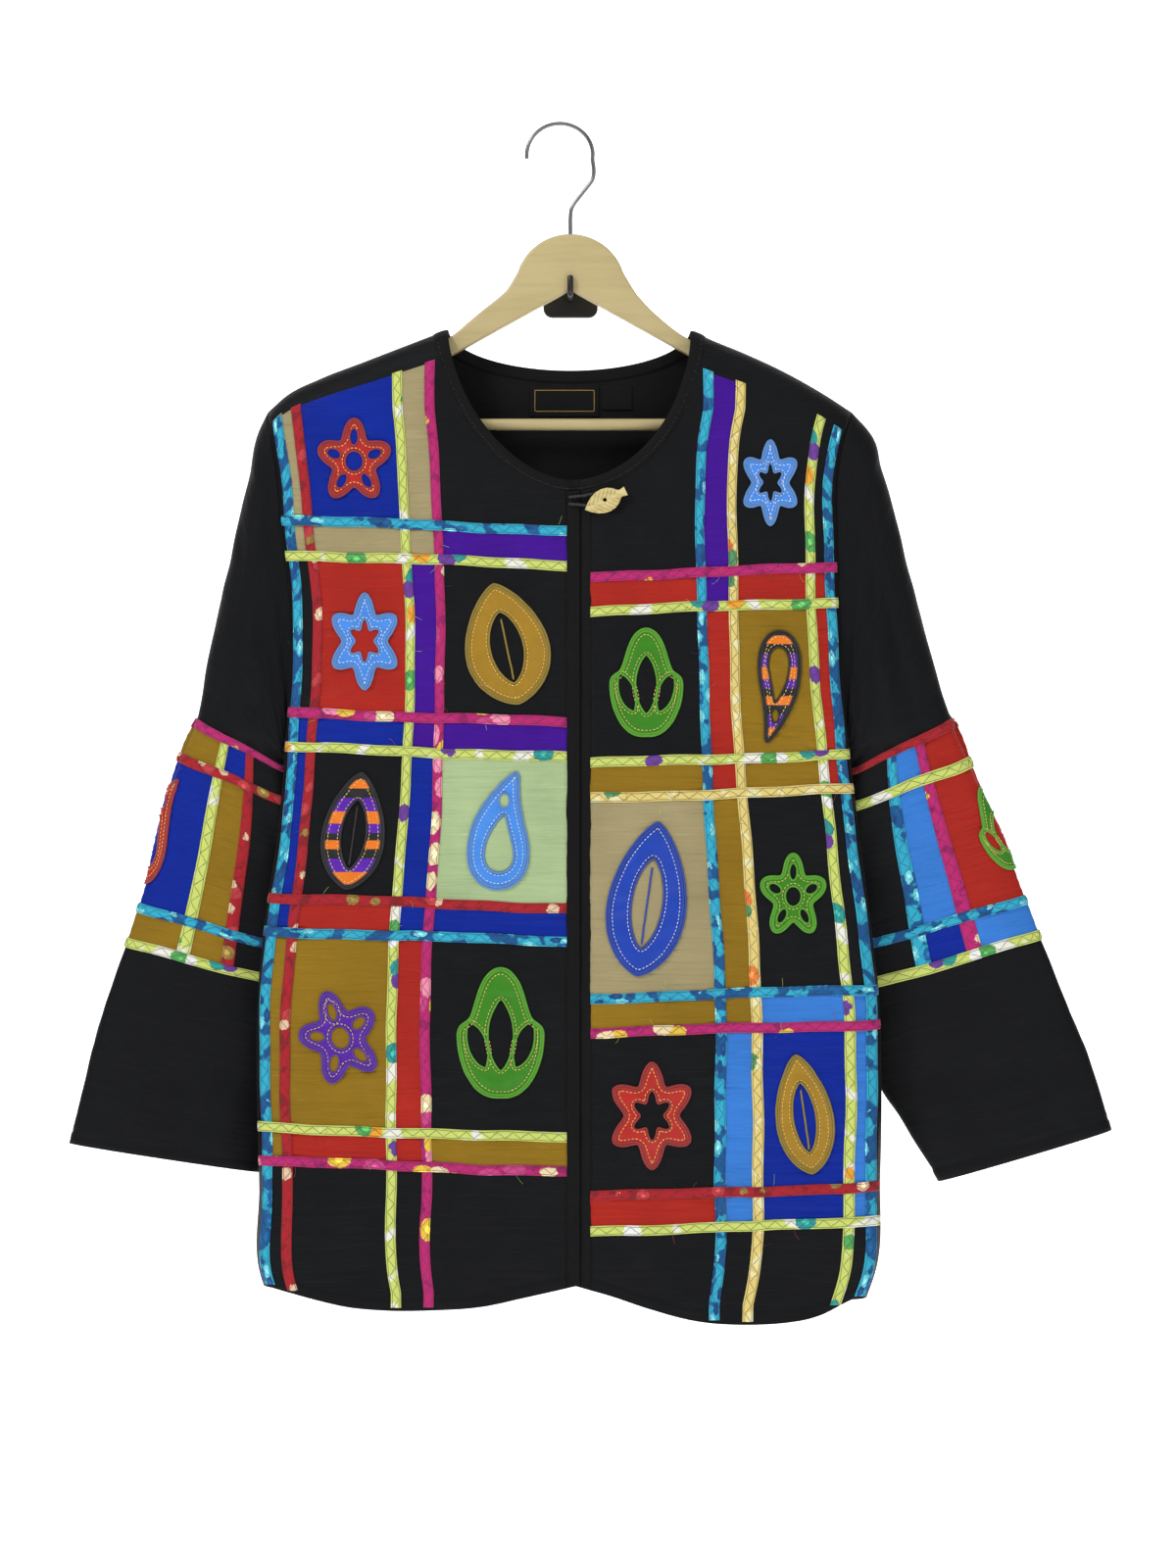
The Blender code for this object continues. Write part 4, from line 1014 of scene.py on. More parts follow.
def motifShapes(shape, count=132):
    # an outline in a square from -1 to 1, then closed inner outlines and open veins, as points (across, up)
    turns, small = tau * np.arange(count) / count, tau * np.arange(60) / 60
    s, c, sinSmall, cosSmall = np.sin(turns), np.cos(turns), np.sin(small), np.cos(small)
    inner, veins = [], []

    def pairs(across, up):
        return np.stack([across, up], axis=1)

    def sixfold(angles):
        # 0 at a star's points and 1 between them
        return smooth(np.abs(((angles / tau * 6 + 0.5) % 1) - 0.5) * 2)

    if shape == "flower":
        reach = 0.78 + 0.2 * np.cos(5 * turns)
        outline = pairs(reach * s, reach * c)
        inner.append(0.24 * pairs(sinSmall, cosSmall))
        for number in range(5):
            petal = pairs(0.29 * 0.42 * sinSmall, 0.56 + 0.2 * cosSmall)
            inner.append(rotated(petal, -tau * number / 5))
    elif shape == "star":
        reach = 0.98 - 0.38 * sixfold(turns) ** 0.9
        outline = pairs(reach * s, reach * c)
        reach = 0.46 - 0.2 * sixfold(small)
        inner.append(pairs(reach * sinSmall, reach * cosSmall))
    elif shape == "leaf":
        outline = pairs(s * (1 - 0.22 * c) * np.abs(s) ** 0.4, c)
        inner.append(pairs(0.42 * sinSmall * np.abs(sinSmall) ** 0.4, 0.6 * cosSmall - 0.06))
        veins.append(np.array([(0.0, -0.6), (0.0, 0.42)]))
    elif shape == "paisley":
        outline = pairs(s * (0.62 - 0.34 * c) + 0.42 * np.maximum(c, 0) ** 2 - 0.12, c)
        bent = sinSmall * (0.62 - 0.34 * cosSmall) * 0.5
        inner.append(pairs(bent + 0.12 * np.maximum(cosSmall, 0) ** 2 - 0.1, 0.5 * cosSmall - 0.22))
        inner.append(pairs(0.13 * sinSmall + 0.02, 0.13 * cosSmall + 0.52))
    else:
        # a tulip: three tips above a round foot
        isCrown = np.abs(np.sin(turns / 2)) < 0.6
        reach = np.where(isCrown, 0.86 + 0.14 * np.cos(3 * turns), 0.8 + 0.2 * np.abs(np.cos(turns / 2)))
        for _ in range(6):
            reach = eased(reach)
        outline = pairs(0.9 * reach * s, reach * c)
        wide = 0.26 * sinSmall * np.abs(sinSmall) ** 0.5
        inner.append(pairs(wide, 0.5 * cosSmall + 0.06))
        for sign in (-1, 1):
            inner.append(rotated(pairs(wide * 0.7, 0.36 * cosSmall), -0.5 * sign) + (0.46 * sign, -0.08))
    return outline, inner, veins


def insetPath(path, distance):
    # a closed path moved inwards, in millimetres
    along = unit(np.roll(path, -1, axis=0) - np.roll(path, 1, axis=0))
    inward = np.stack([-along[:, 1], along[:, 0]], axis=1)
    middle = path.mean(axis=0)
    if ((middle - path) * inward).sum() < 0:
        inward = -inward
    for _ in range(3):
        inward = eased(inward)
    return path + inward * distance


def evenly(path, step, closed=True):
    if closed:
        path = np.vstack([path, path[:1]])
    lengths = distances(path)
    count = max(3, int(lengths[-1] / step))
    at = np.linspace(0, lengths[-1], count + 1)
    if closed:
        at = at[:-1]
    return np.stack([np.interp(at, lengths, path[:, axis]) for axis in (0, 1)], axis=1)


def isInside(places, loop):
    # True for each place (across, up) that a closed loop holds
    x, y = places[:, None, 0], places[:, None, 1]
    ends = np.roll(loop, -1, axis=0)
    crosses = (loop[None, :, 1] > y) != (ends[None, :, 1] > y)
    rise = np.where(ends[:, 1] == loop[:, 1], 1e-9, ends[:, 1] - loop[:, 1])
    at = loop[None, :, 0] + (y - loop[None, :, 1]) / rise * (ends[:, 0] - loop[:, 0])
    return (crosses & (x < at)).sum(axis=1) % 2 == 1


def buildMotif(side, number, motif, surface, facing, prefix="applique"):
    shape, outMiddle, dropMiddle, wide, high, turnedBy, colour, ground = motif
    outline, inner, veins = motifShapes(shape)

    def placed(path):
        return rotated(path * (wide / 2 - 0.4, high / 2 - 0.4), radians(turnedBy))

    def lifted(local, lift):
        # local is (across the picture, up); the front's "out" runs the other way on the wearer's right
        place = np.stack([outMiddle + side["sign"] * local[:, 0], dropMiddle - local[:, 1]], axis=1)
        normal = facing(place)
        return surface(place) + normal * np.broadcast_to(lift, len(local))[:, None], normal

    batch = Batch()

    def addLens(loop, heart, shares, lifts, tipLift, low, slot):
        # a closed lens: its underside follows the cloth's wrinkles, its top is made of rings going in
        under = np.linspace(0.1, 1, 7)
        spreads = [heart + (loop - heart) * share for share in (*under, *shares)]
        rings = [lifted(local, lift)[0] for local, lift in zip(spreads, [low] * len(under) + list(lifts))]
        tips = [lifted(heart[None], lift)[0] for lift in (tipLift, low)]
        faces = gridFaces(len(rings), len(loop), True).tolist()
        tip = len(rings) * len(loop)
        top = tip - len(loop)
        for index in range(len(loop)):
            after = (index + 1) % len(loop)
            faces += [[top + index, top + after, tip], [after, index, tip + 1]]
        uv = np.concatenate([*spreads, heart[None], heart[None]]) + 40
        batch.add(np.concatenate(rings + tips), faces, uv, slot)

    # the satin, puffed between its edge and its inner outlines
    edge = evenly(placed(outline), 1.3)
    centre = edge.mean(axis=0)
    holes = [placed(path) for path in inner]
    shares = np.concatenate([[1.0, 0.97], np.arange(0.94, 0.04, -0.05)])
    lifts = []
    for share in shares:
        local = centre + (edge - centre) * share
        dip = 1.5 * np.any([isInside(local, hole) for hole in holes], axis=0)
        puff = 0.5 + 0.75 * rounding((1 - share) / 0.2)
        lifts.append(puff + 0.12 * ripple(local[:, 0], local[:, 1], 14, number) - dip)
    isOpen = any(isInside(centre[None], hole)[0] for hole in holes)
    addLens(edge, centre, shares, lifts, 1.2 - 1.5 * isOpen, 0.05, 0)
    # satin-stitched cords round the edge and the inner outlines
    for path, lift, radius in ((edge, 0.95, 0.95), (insetPath(edge, 1.7), 1.0, 0.9)):
        batch.add(*tubeMesh(*lifted(path, lift), radius, closed=True), 1)
    for hole in holes:
        path = evenly(hole, 1.1)
        batch.add(*tubeMesh(*lifted(path, 1.2), 0.85, closed=True), 1)
        # inside it the block's own silk shows
        addLens(path, path.mean(axis=0), np.linspace(1, 0.1, 7), [0.85] * 7, 0.85, 0.4, 3)
    for vein in veins:
        path = evenly(placed(vein), 1.2, closed=False)
        batch.add(*tubeMesh(*lifted(path, 1.15), 0.8, taper=True), 1)
    # running stitches of metal thread inside each cord
    runs = [insetPath(edge, 4.2)] + [insetPath(hole, -2.1) for hole in holes if np.ptp(hole[:, 1]) > 14]
    for path in runs:
        path = evenly(path, 2.9)
        ahead = np.roll(path, -1, axis=0)
        middle, normal = lifted((path + ahead) / 2, 1.42)
        start, _ = lifted(path, 1.42)
        end, _ = lifted(ahead, 1.42)
        addStitches(batch, middle, unit(end - start), normal, 2.1, 0.8, 0.6, 2)
    metal = "silver" if colour in ("sky", "blue") else "gold"
    name = f"{prefix}{side['title']}{number}{shape.capitalize()}"
    return batch.build(name, [satins[colour], edges[colour], threads[metal], grounds[ground]])


for side in (right, left):
    for number, motif in enumerate(motifs[side["name"]], 1):
        piece = buildMotif(
            side, number, motif,
            lambda place: onFront(side, place[:, 0], place[:, 1]),
            lambda place: frontFacing(side, place[:, 0], place[:, 1]),
        )
        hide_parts(f"applique_{side['name']}_{number}_{motif[0]}")
print("raised patches done")


# the black strips down the fronts' edges
def buildPlacket(side):
    # its inner edge turns under 1 mm past the seam, so no light comes through
    outs = fineSteps([side["centre"], side["columns"][0] + 1.0], 1.0)
    border = cloth["border"] + cloth["seamGap"]
    tops = [float(neckline(side, out, cloth["frontDepth"], side["neckPower"], border)) for out in outs]
    ends = [float(curveThrough(side["hem"], out)) for out in outs]
    drops = np.linspace(tops, ends, 300)
    grid = np.broadcast_to(outs, drops.shape)
    points = onFront(side, grid, drops)
    inset = np.minimum(grid - outs[0], outs[-1] - grid)
    swell = 0.5 * rounding(inset / 1.6) - 0.3 * bell(inset, 2.4, 0.5) + 0.25 * ripple(grid * 3, drops, 40, 3)
    points[..., 1] -= swell - 0.3
    piece = clothPiece("placket" + side["title"], points, (grid, drops), -1, trimCloth)
    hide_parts("placket_" + side["name"])
    return piece


for side in (right, left):
    placket = buildPlacket(side)
    width = max(side["columns"][0] - side["centre"], 10.1)
    width * mm
    "front" + side["title"]


# the back, and the strip round the neck
def backColumn(nominal, size):
    side = right if nominal < 0 else left
    out = abs(nominal)
    top = float(panelTop(side, out, cloth["backDepth"], 2.0))
    shares = fineSteps([0, 0.003, 0.011, 0.025, 0.05, 0.1, 0.2, 0.4, 0.6, 0.8, 0.97, 0.988, 1.0], size)
    drops = top + shares * (cloth["backHem"] - top)
    xs = nominal / side["shoulder"][-1][0] * curveThrough(side["edge"], drops)
    return xs, drops


def buildBack():
    halves = []
    for side in (right, left):
        halves.append(withCorner(fineSteps([0, side["corner"], side["columns"][-1]], 5.2), side))
    nominals = np.concatenate([-halves[0][::-1], halves[1][1:]])
    columns = [backColumn(nominal, 0.0058) for nominal in nominals]
    xs, drops = (np.stack(values, axis=1) for values in zip(*columns))
    points = np.stack([xs, backY(xs, drops) + hemLift(drops[-1:] - drops), -drops], axis=-1)
    piece = clothPiece("back", points, (xs, drops), 1, blackSilk)
    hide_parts("back_right", "back_left")
    return piece


back = buildBack()


def neckPath():
    # stations (side, is on the front, out) from one front's edge round to the other's
    halves = []
    for side in (right, left):
        half = []
        for isFront, start in ((True, side["centre"]), (False, 0)):
            outs = withCorner(fineSteps([start, side["corner"] - 12, side["corner"]], 2.0), side)
            half.append([(side, isFront, out) for out in outs])
        halves.append(half[0] + half[1][-2::-1])
    return halves[0] + halves[1][-2::-1]


def buildBinding():
    stations = neckPath()
    line = []
    for side, isFront, out in stations:
        depth, power = (cloth["frontDepth"], side["neckPower"]) if isFront else (cloth["backDepth"], 2.0)
        line.append((side["sign"] * out, float(panelTop(side, out, depth, power))))
    line = np.array(line)
    along = np.gradient(line, axis=0)
    turns = unit(np.stack([along[:, 1], -along[:, 0]], axis=1))
    middle = np.array((0, cloth["neckTop"] + cloth["backDepth"] / 2))
    turns *= np.sign((turns * (middle - line)).sum(axis=1, keepdims=True))
    # at a shoulder the strip goes straight across its slope
    short = np.array([side["corner"] - out for side, _, out in stations])
    near = smooth(1 - short[:, None] / 9)
    corner = unit(np.array([(-side["sign"], -0.36) for side, _, _ in stations]))
    turns = unit(turns * (1 - near) + corner * near)
    turns[[0, -1]] = (0, -1)

    def at(reach):
        places = line + turns * (cloth["seamGap"] + reach)
        xs, drops = places.T
        frontSide = np.where(xs < 0, frontY(right, -xs, drops, False), frontY(left, xs, drops, False))
        isAhead = [isFront for _, isFront, _ in stations]
        return np.stack([xs, np.where(isAhead, frontSide, backY(xs, drops, False)), -drops], axis=1)

    # the strip is folded over the panels' raw edge, further at the shoulders
    first, second = at(-1.5 - 2.2 * near), at(cloth["border"])
    # eased along its length, but sharp where it folds over the shoulder
    ease = smooth((short - 1) / 8)[1:-1, None]
    for _ in range(4):
        for edge in (first, second):
            edge[1:-1] += ease * ((edge[:-2] + 2 * edge[1:-1] + edge[2:]) / 4 - edge[1:-1])
    normal = np.cross(np.gradient((first + second) / 2, axis=0), second - first)
    outward = (first + second) / 2 - np.array((0, cloth["hangerY"], -cloth["tipDrop"] - 40))
    normal = unit(normal * np.sign((normal * outward).sum(axis=1, keepdims=True)))
    for _ in range(6):
        normal[1:-1] = (normal[:-2] + 2 * normal[1:-1] + normal[2:]) / 4
    normal = unit(normal)
    above, below = (0, 0.1, 0.28, 0.5, 0.72, 0.9, 1.0), (1.0, 0.72, 0.28, 0.0)
    count = len(first)
    pucker = 0.16 * np.sin(np.arange(count) * 1.9) * np.sin(np.arange(count) / 7)
    rises = [0.75 * (1 - abs(2 * share - 1) ** 3) - 0.1 + pucker * bell(share, 0.3, 0.4) for share in above]
    rises += [np.full(count, -1.25)] * len(below)
    shares = np.array(above + below)
    rows = [first + (second - first) * share + normal * rise[:, None] for share, rise in zip(shares, rises)]
    uv = np.stack([np.repeat(distances(first), len(rows)), np.tile(shares * cloth["border"], count)], axis=1)
    batch, sewing = Batch(), Batch()
    batch.add(np.stack(rows, axis=1).reshape(-1, 3), cappedFaces(count, len(rows)), uv)
    piece = batch.build("binding", [trimCloth])
    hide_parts("binding")
    path = first + (second - first) * 0.3 + normal * 0.62
    addStitches(sewing, path[:-1], unit(np.diff(path, axis=0)), normal[:-1], 1.5, 0.34, 0.3)
    sewing.build("bindingSewing", [threads["dark"]])


buildBinding()
print("back and binding done")


# the sleeves
sleeveRings = {
    # along, outer, its drop, inner, its drop, how far back the outer and the inner edge lie, half thickness
    "right": [
        (0, 228.0, 95, 214.6, 343, -32, -46, 18), (17, 235.3, 110, 214.4, 345, -31, -43, 18),
        (52, 242.7, 144, 214.6, 348, -30, -40, 18), (98, 253.0, 189, 214.6, 351, -29, -37, 18),
        (150, 265.0, 240, 214.4, 355, -28, -35, 17), (202, 276.0, 291, 213.6, 359, -27, -32, 16),
        (242, 283.0, 330, 213.0, 366, -26, -28, 15), (271, 294.5, 357, 208.0, 393, -25, -24, 14),
        (301, 305.0, 385, 205.0, 420, -24, -20, 13), (353, 318.0, 435, 206.0, 467, -22, -17, 12),
        (393, 329.0, 474, 208.0, 508, -21, -16, 12), (428, 340.0, 507, 210.0, 540, -20, -16, 12),
        (470, 353.7, 546, 215.0, 582, -20, -16, 12), (522, 367.0, 596, 226.0, 628, -20, -17, 13),
        (575, 379.6, 648, 236.0, 670, -20, -18, 14),
    ],
    "left": [
        (0, 212.0, 95, 209.6, 343, -32, -46, 18), (17, 225.7, 110, 209.2, 345, -31, -43, 18),
        (52, 235.3, 138, 209.4, 348, -30, -40, 18), (98, 248.6, 187, 209.4, 351, -29, -37, 18),
        (150, 263.4, 243, 209.4, 355, -28, -35, 17), (202, 277.5, 294, 209.2, 360, -27, -32, 16),
        (242, 289.0, 330, 209.0, 368, -26, -28, 15), (271, 302.0, 361, 205.0, 397, -25, -24, 14),
        (301, 317.0, 394, 203.0, 425, -24, -20, 13), (353, 334.0, 432, 204.0, 469, -22, -17, 12),
        (393, 347.0, 468, 206.0, 508, -21, -16, 12), (428, 360.0, 502, 212.0, 546, -20, -16, 12),
        (470, 377.4, 545, 226.0, 590, -20, -16, 12), (522, 395.0, 589, 248.0, 626, -20, -17, 13),
        (575, 410.0, 638, 279.0, 677, -20, -18, 14),
    ],
    "length": 575,
    "halfRound": 165,  # from the outer edge to the inner one, along the cloth
    "tapeStations": ((238, 246), (266, 274), (384, 392), (412, 420)),
    "tapeAcross": ((0.30, 0.38), (0.56, 0.64)),
    "right colours": [
        ("mustard", "blue", "black"),
        ("blue", "mustard", "black"),
        ("mustard", "mustard", "black"),
    ],
    "left colours": [("rust", "sky", "black"), ("rust", "sky", "black"), ("sky", "blue", "black")],
    "right prints": (("magenta", "red", "cyan", "lime"), ("lime", "red")),
    "left prints": (("red", "lime", "cyan", "lime"), ("magenta", "cyan")),
}
# station, place round, how long along, how wide round, height
# the place round goes from 0 to 1 over the front, from the outer edge to the inner one
sleeveCreases = {
    "right": [
        (262, 0.86, 26, 0.10, 2.2), (225, 0.80, 22, 0.16, -1.8), (300, 0.92, 24, 0.08, 1.6),
        (120, 0.42, 90, 0.07, 1.2), (180, 0.62, 90, 0.06, -1.2), (500, 0.30, 50, 0.06, 1.1),
        (520, 0.55, 60, 0.06, -1.2), (540, 0.78, 50, 0.06, 1.3), (80, 0.2, 60, 0.08, 0.9),
        (60, 0.7, 50, 0.08, -1.0),
    ],
    "left": [
        (258, 0.85, 26, 0.10, 2.2), (222, 0.78, 22, 0.16, -1.8), (304, 0.92, 24, 0.08, 1.6),
        (130, 0.50, 90, 0.07, 1.2), (170, 0.30, 90, 0.06, -1.1), (505, 0.40, 50, 0.06, 1.2),
        (525, 0.65, 60, 0.06, -1.3), (545, 0.20, 50, 0.06, 1.1), (90, 0.3, 60, 0.08, -0.9),
        (50, 0.62, 50, 0.08, 1.0),
    ],
}


def sleeveBase(side, station, around):
    station, around = np.broadcast_arrays(np.asarray(station, float), np.asarray(around, float))
    rings = np.array(sleeveRings[side["name"]], float)
    values = [curveThrough(rings[:, [0, column]], station) for column in range(1, 8)]
    around = np.mod(around, 2.0)
    isFront = around <= 1
    share = np.where(isFront, around, 2 - around)

    def onRing(outer, outerDrop, inner, innerDrop, outerY, innerY, half):
        bulge = half * np.maximum(1 - np.abs(1 - 2 * share) ** 2.4, 0) ** (1 / 2.4)
        out = outer + (inner - outer) * share
        y = outerY + (innerY - outerY) * share + np.where(isFront, -bulge, bulge)
        return np.stack([out, y, outerDrop + (innerDrop - outerDrop) * share], axis=-1)

    # the sleeve starts on the armhole and goes over to its own rings
    holeDrop = cloth["tipDrop"] + (cloth["underarm"] - cloth["tipDrop"]) * share
    _, _, frontEdge, backEdge, _ = layerAt(holeDrop)
    holeY = np.where(isFront, frontEdge, backEdge)
    rounded = rounding((holeDrop - cloth["tipDrop"]) / cloth["roll"])
    holeY = cloth["hangerY"] + (holeY - cloth["hangerY"]) * rounded
    hole = np.stack([curveThrough(side["edge"], holeDrop) + cloth["sleeveGap"], holeY, holeDrop], axis=-1)
    fade = ((1 - smooth(station / 130)) ** 1.5)[..., None]
    return (onRing(*values) + fade * (hole - onRing(*rings[0, 1:]))) * (side["sign"], 1, -1)


def sleeveFacing(side, station, around):
    base = sleeveBase(side, station, around)
    across = sleeveBase(side, station, around + 0.01) - sleeveBase(side, station, around - 0.01)
    low, high = np.minimum(station + 2.0, sleeveRings["length"]), np.maximum(station - 2.0, 0)
    down = sleeveBase(side, low, around) - sleeveBase(side, high, around)
    normal = unit(np.cross(across, down))
    middle = (sleeveBase(side, station, 0.5) + sleeveBase(side, station, 1.5)) / 2
    turned = (normal * (base - middle)).sum(axis=-1, keepdims=True) < 0
    return normal * np.where(turned, -1, 1)


def sleeveLift(side, station, around):
    lift = 0.9 * ripple(around * 150, station, 80, 21)
    around = np.mod(around, 2.0)
    for middle, place, long, wide, height in sleeveCreases[side["name"]]:
        for shift in (0.0, 1.13):
            lift = lift + 1.4 * height * bell(station, middle, long) * bell(around, place + shift, wide)
    band = smooth((station - 238) / 10) * smooth((420 - station) / 10)
    lift = lift + 0.16 * band * np.sin(tau * (station + 3 * ripple(around * 150, station, 60, 4)) / 7.6)
    return lift * smooth(station / 40) * smooth((sleeveRings["length"] - station) / 16 + 0.15)


def onSleeve(side, station, around):
    lift = sleeveLift(side, station, around)[..., None]
    return sleeveBase(side, station, around) + sleeveFacing(side, station, around) * lift


def buildSleeve(side):
    half = sleeveRings["halfRound"]
    stations = fineSteps([0, 238, 246, 266, 274, 384, 392, 412, 420, 560], 3.6)
    stations = np.concatenate([stations, [563, 565, 566, 567, 568.5, 571, sleeveRings["length"]]])
    halfway = (1 - np.cos(pi * np.linspace(0, 1, 44))) / 2
    arounds = np.concatenate([halfway, 2 - halfway[-2:0:-1]])
    grid = np.meshgrid(stations, arounds, indexing="ij")
    hem = hemLift(sleeveRings["length"] - grid[0])
    points = onSleeve(side, *grid) + sleeveFacing(side, *grid) * hem[..., None]
    rows, columns = grid[0].shape
    flat, middle = points.reshape(-1, 3), points.mean(axis=1, keepdims=True)
    faces = faceOutwards(gridFaces(rows, columns, True), flat, (points - middle).reshape(-1, 3))
    piece = meshPiece("sleeve" + side["title"], flat, faces, [patchSilk, innerSilk])
    # a corner past the tube's seam goes on counting, so that the weave runs across it
    at = np.stack([grid[1] * half, grid[0]], axis=-1).reshape(-1, 2)[faces]
    wraps = np.ptp(at[..., 0], axis=1) > half
    at[..., 0] += np.where(wraps[:, None] & (at[..., 0] < half), 2 * half, 0)
    layer = piece.data.uv_layers.new(name="flat")
    layer.data.foreach_set("uv", (at * mm).astype(np.float32).ravel())
    # the band's three rows of blocks, each of three colours round the front and mirrored behind
    colours = np.tile(dyed["black"], (rows - 1, columns, 1))
    down = (stations[:-1] + stations[1:]) / 2
    shares = 1 - np.abs(1 - (arounds + np.append(arounds[1:], 2.0)) / 2)
    zones = np.searchsorted((0.34, 0.60), shares, side="right")
    for row in np.flatnonzero((down > 242) & (down < 416)):
        names = sleeveRings[side["name"] + " colours"][np.searchsorted((270, 388), down[row], side="right")]
        colours[row] = [dyed[names[zone]] for zone in zones]
    paint(piece, colours)
    thicken(piece, cloth["wall"])
    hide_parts(*("sleeve_" + side["name"] + part for part in ("_upper", "_band", "_cuff")))
    return piece


def buildSleeveTapes(side):
    strips, sewing = Batch(), Batch()
    roundPrints, alongPrints = sleeveRings[side["name"] + " prints"]

    def surface(place):
        return onSleeve(side, place[:, 0], place[:, 1])

    def facing(place):
        return sleeveFacing(side, place[:, 0], place[:, 1])

    stations = np.arange(240, 419, 2.6)
    for number, (low, high) in enumerate(sleeveRings["tapeAcross"]):
        wander = 0.004 * np.sin(stations / 23 + number)
        for isBehind in (False, True):
            arounds = [2 - value if isBehind else value for value in (low, high)]
            edges = [np.stack([stations, around + wander], axis=1) for around in arounds]
            start = 90.0 * number + 300 * isBehind
            lifts = np.zeros(len(stations))
            layTape(strips, sewing, surface, facing, edges, lifts, alongPrints[number], start, 70 + number)
    crossings = [(low + high) / 2 for low, high in sleeveRings["tapeAcross"]]
    crossings += [2 - value for value in crossings]
    halfway = (1 - np.cos(pi * np.linspace(0, 1, 62))) / 2
    arounds = np.concatenate([halfway, 2 - halfway[-2::-1]])
    lifts = tapePlan["cross"] * sum(smooth((0.065 - np.abs(arounds - middle)) / 0.03) for middle in crossings)
    for number, (low, high) in enumerate(sleeveRings["tapeStations"]):
        wander = 0.6 * np.sin(arounds * 9 + number) * smooth(np.minimum(arounds, 2 - arounds) / 0.15)
        edges = [np.stack([value + wander, arounds], axis=1) for value in (low + 0.2, high - 0.2)]
        start = 170.0 * number
        layTape(strips, sewing, surface, facing, edges, lifts, roundPrints[number], start, 90 + number)
    piece = strips.build("tapesSleeve" + side["title"], list(prints.values()))
    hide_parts("tapes_sleeve_" + side["name"])
    sewing.build("tapeSewingSleeve" + side["title"], [threads["dark"]])


sleeveMotifs = {
    "right": [("paisley", 0.0, 328.0, 56, 84, 0, "red", "blue")],
    "left": [("tulip", 0.0, 328.0, 60, 84, 0, "green", "rust")],
}
for side in (right, left):
    sleeve = buildSleeve(side)
    "front" + side["title"]
    buildSleeveTapes(side)
    # local places run round the sleeve's outer edge and down it
    for number, motif in enumerate(sleeveMotifs[side["name"]], 1):
        spread = 0.0052
        buildMotif(
            {**side, "sign": 1}, number, motif,
            lambda place: onSleeve(side, place[:, 1], np.mod(place[:, 0] * spread, 2.0)),
            lambda place: sleeveFacing(side, place[:, 1], np.mod(place[:, 0] * spread, 2.0)),
            "sleevePatch",
        )
print("sleeves done")

fray = Batch()
for side in (right, left):
    frayTapes(side, fray, 70)
fray.build("looseThreads", [threads["dark"], threads["lime"], threadFinish("redThread", (0.45, 0.03, 0.05))])


# the two labels inside the back's neck, bare but for a gold line woven round the larger one
goldLine = threadFinish("goldLine", (0.42, 0.27, 0.06), 0.2, 0.5)
labelPlan = {"label": ("wovenLabel", -31, 22, 73, 97), "size_label": ("sizeTab", 24, 47, 73, 92)}


def onLabel(xs, drops, top, bottom, ahead=0.0):
    # just before the back, leaning out a little at its lower edge
    lean = 0.5 * (drops - top) / (bottom - top)
    ys = backY(xs, drops) - cloth["wall"] - 0.35 - lean - 0.12 * ripple(xs, drops, 18, 12) - ahead
    return np.stack([xs, ys, -drops], axis=-1)


for node, (name, lowX, highX, top, bottom) in labelPlan.items():
    xs, drops = np.meshgrid(np.linspace(lowX, highX, 40), np.linspace(top, bottom, 22))
    piece = clothPiece(name, onLabel(xs, drops, top, bottom), (xs, drops), -1, trimCloth, thickness=0.35)
    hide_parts(node)
    if node == "label":
        corners = [(lowX + 4, top + 4), (highX - 4, top + 4), (highX - 4, bottom - 4), (lowX + 4, bottom - 4)]
        path = evenly(np.array(corners, float), 1.2)
        lines = Batch()
        lines.add(*tubeMesh(onLabel(*path.T, top, bottom, 0.12), (0, -1, 0), 0.3, closed=True))
        lines.build("labelLine", [goldLine])


# the wooden hanger and its steel hook
hanger = {
    "thick": 12.0,
    "round": 2.2,
    "domeRadius": 42.0,
    "domeTop": 38.9,
    "armTops": {
        "right": [(47, 2), (54, 9), (66, 18.5), (78, 28.5), (88, 37), (98, 42)],
        "left": [(47, 2), (52, 9), (62, 19.5), (74, 30), (86, 38.5), (97, 43.5)],
    },
    "tip": [
        (195, 92), (196.4, 97.5), (196, 103), (193, 110), (188, 115), (183, 116.6), (178, 116), (174, 113.5),
        (172.3, 110),
    ],
    "under": [(172.3, 97), (170.6, 94.2), (164, 91), (90, 53), (6, 6.6), (3, 4.7)],
    "crotch": 4.1,
    "bar": (104.5, 4.4, 172.0),
    "wire": 1.5,
}


def woodFinish(name, pale, dark, along=(14, 150, 150), coat=0.25):
    finish = Finish(name, roughness=0.5, coat=coat, specular=0.45)
    place = finish.place()
    bend = finish.streaks(place, (6, 30, 30), 2.0, 0.5)
    grain = finish.streaks(place, along, 4.0, 0.6, 0.4)
    pores = finish.streaks(place, (90, 1500, 1500), 2.0, 0.5)
    streak = finish.fall(grain * 0.75 + bend * 0.35, 0.42, 0.74)
    colour = finish.mix(streak, pale, dark)
    finish.set("Base Color", finish.shade(colour, 0.93 + 0.14 * pores))
    finish.set("Roughness", 0.42 + 0.16 * pores)
    finish.set("Normal", finish.bump(pores * 0.6 + grain * 0.4, 0.0002, 0.35))
    return finish.material


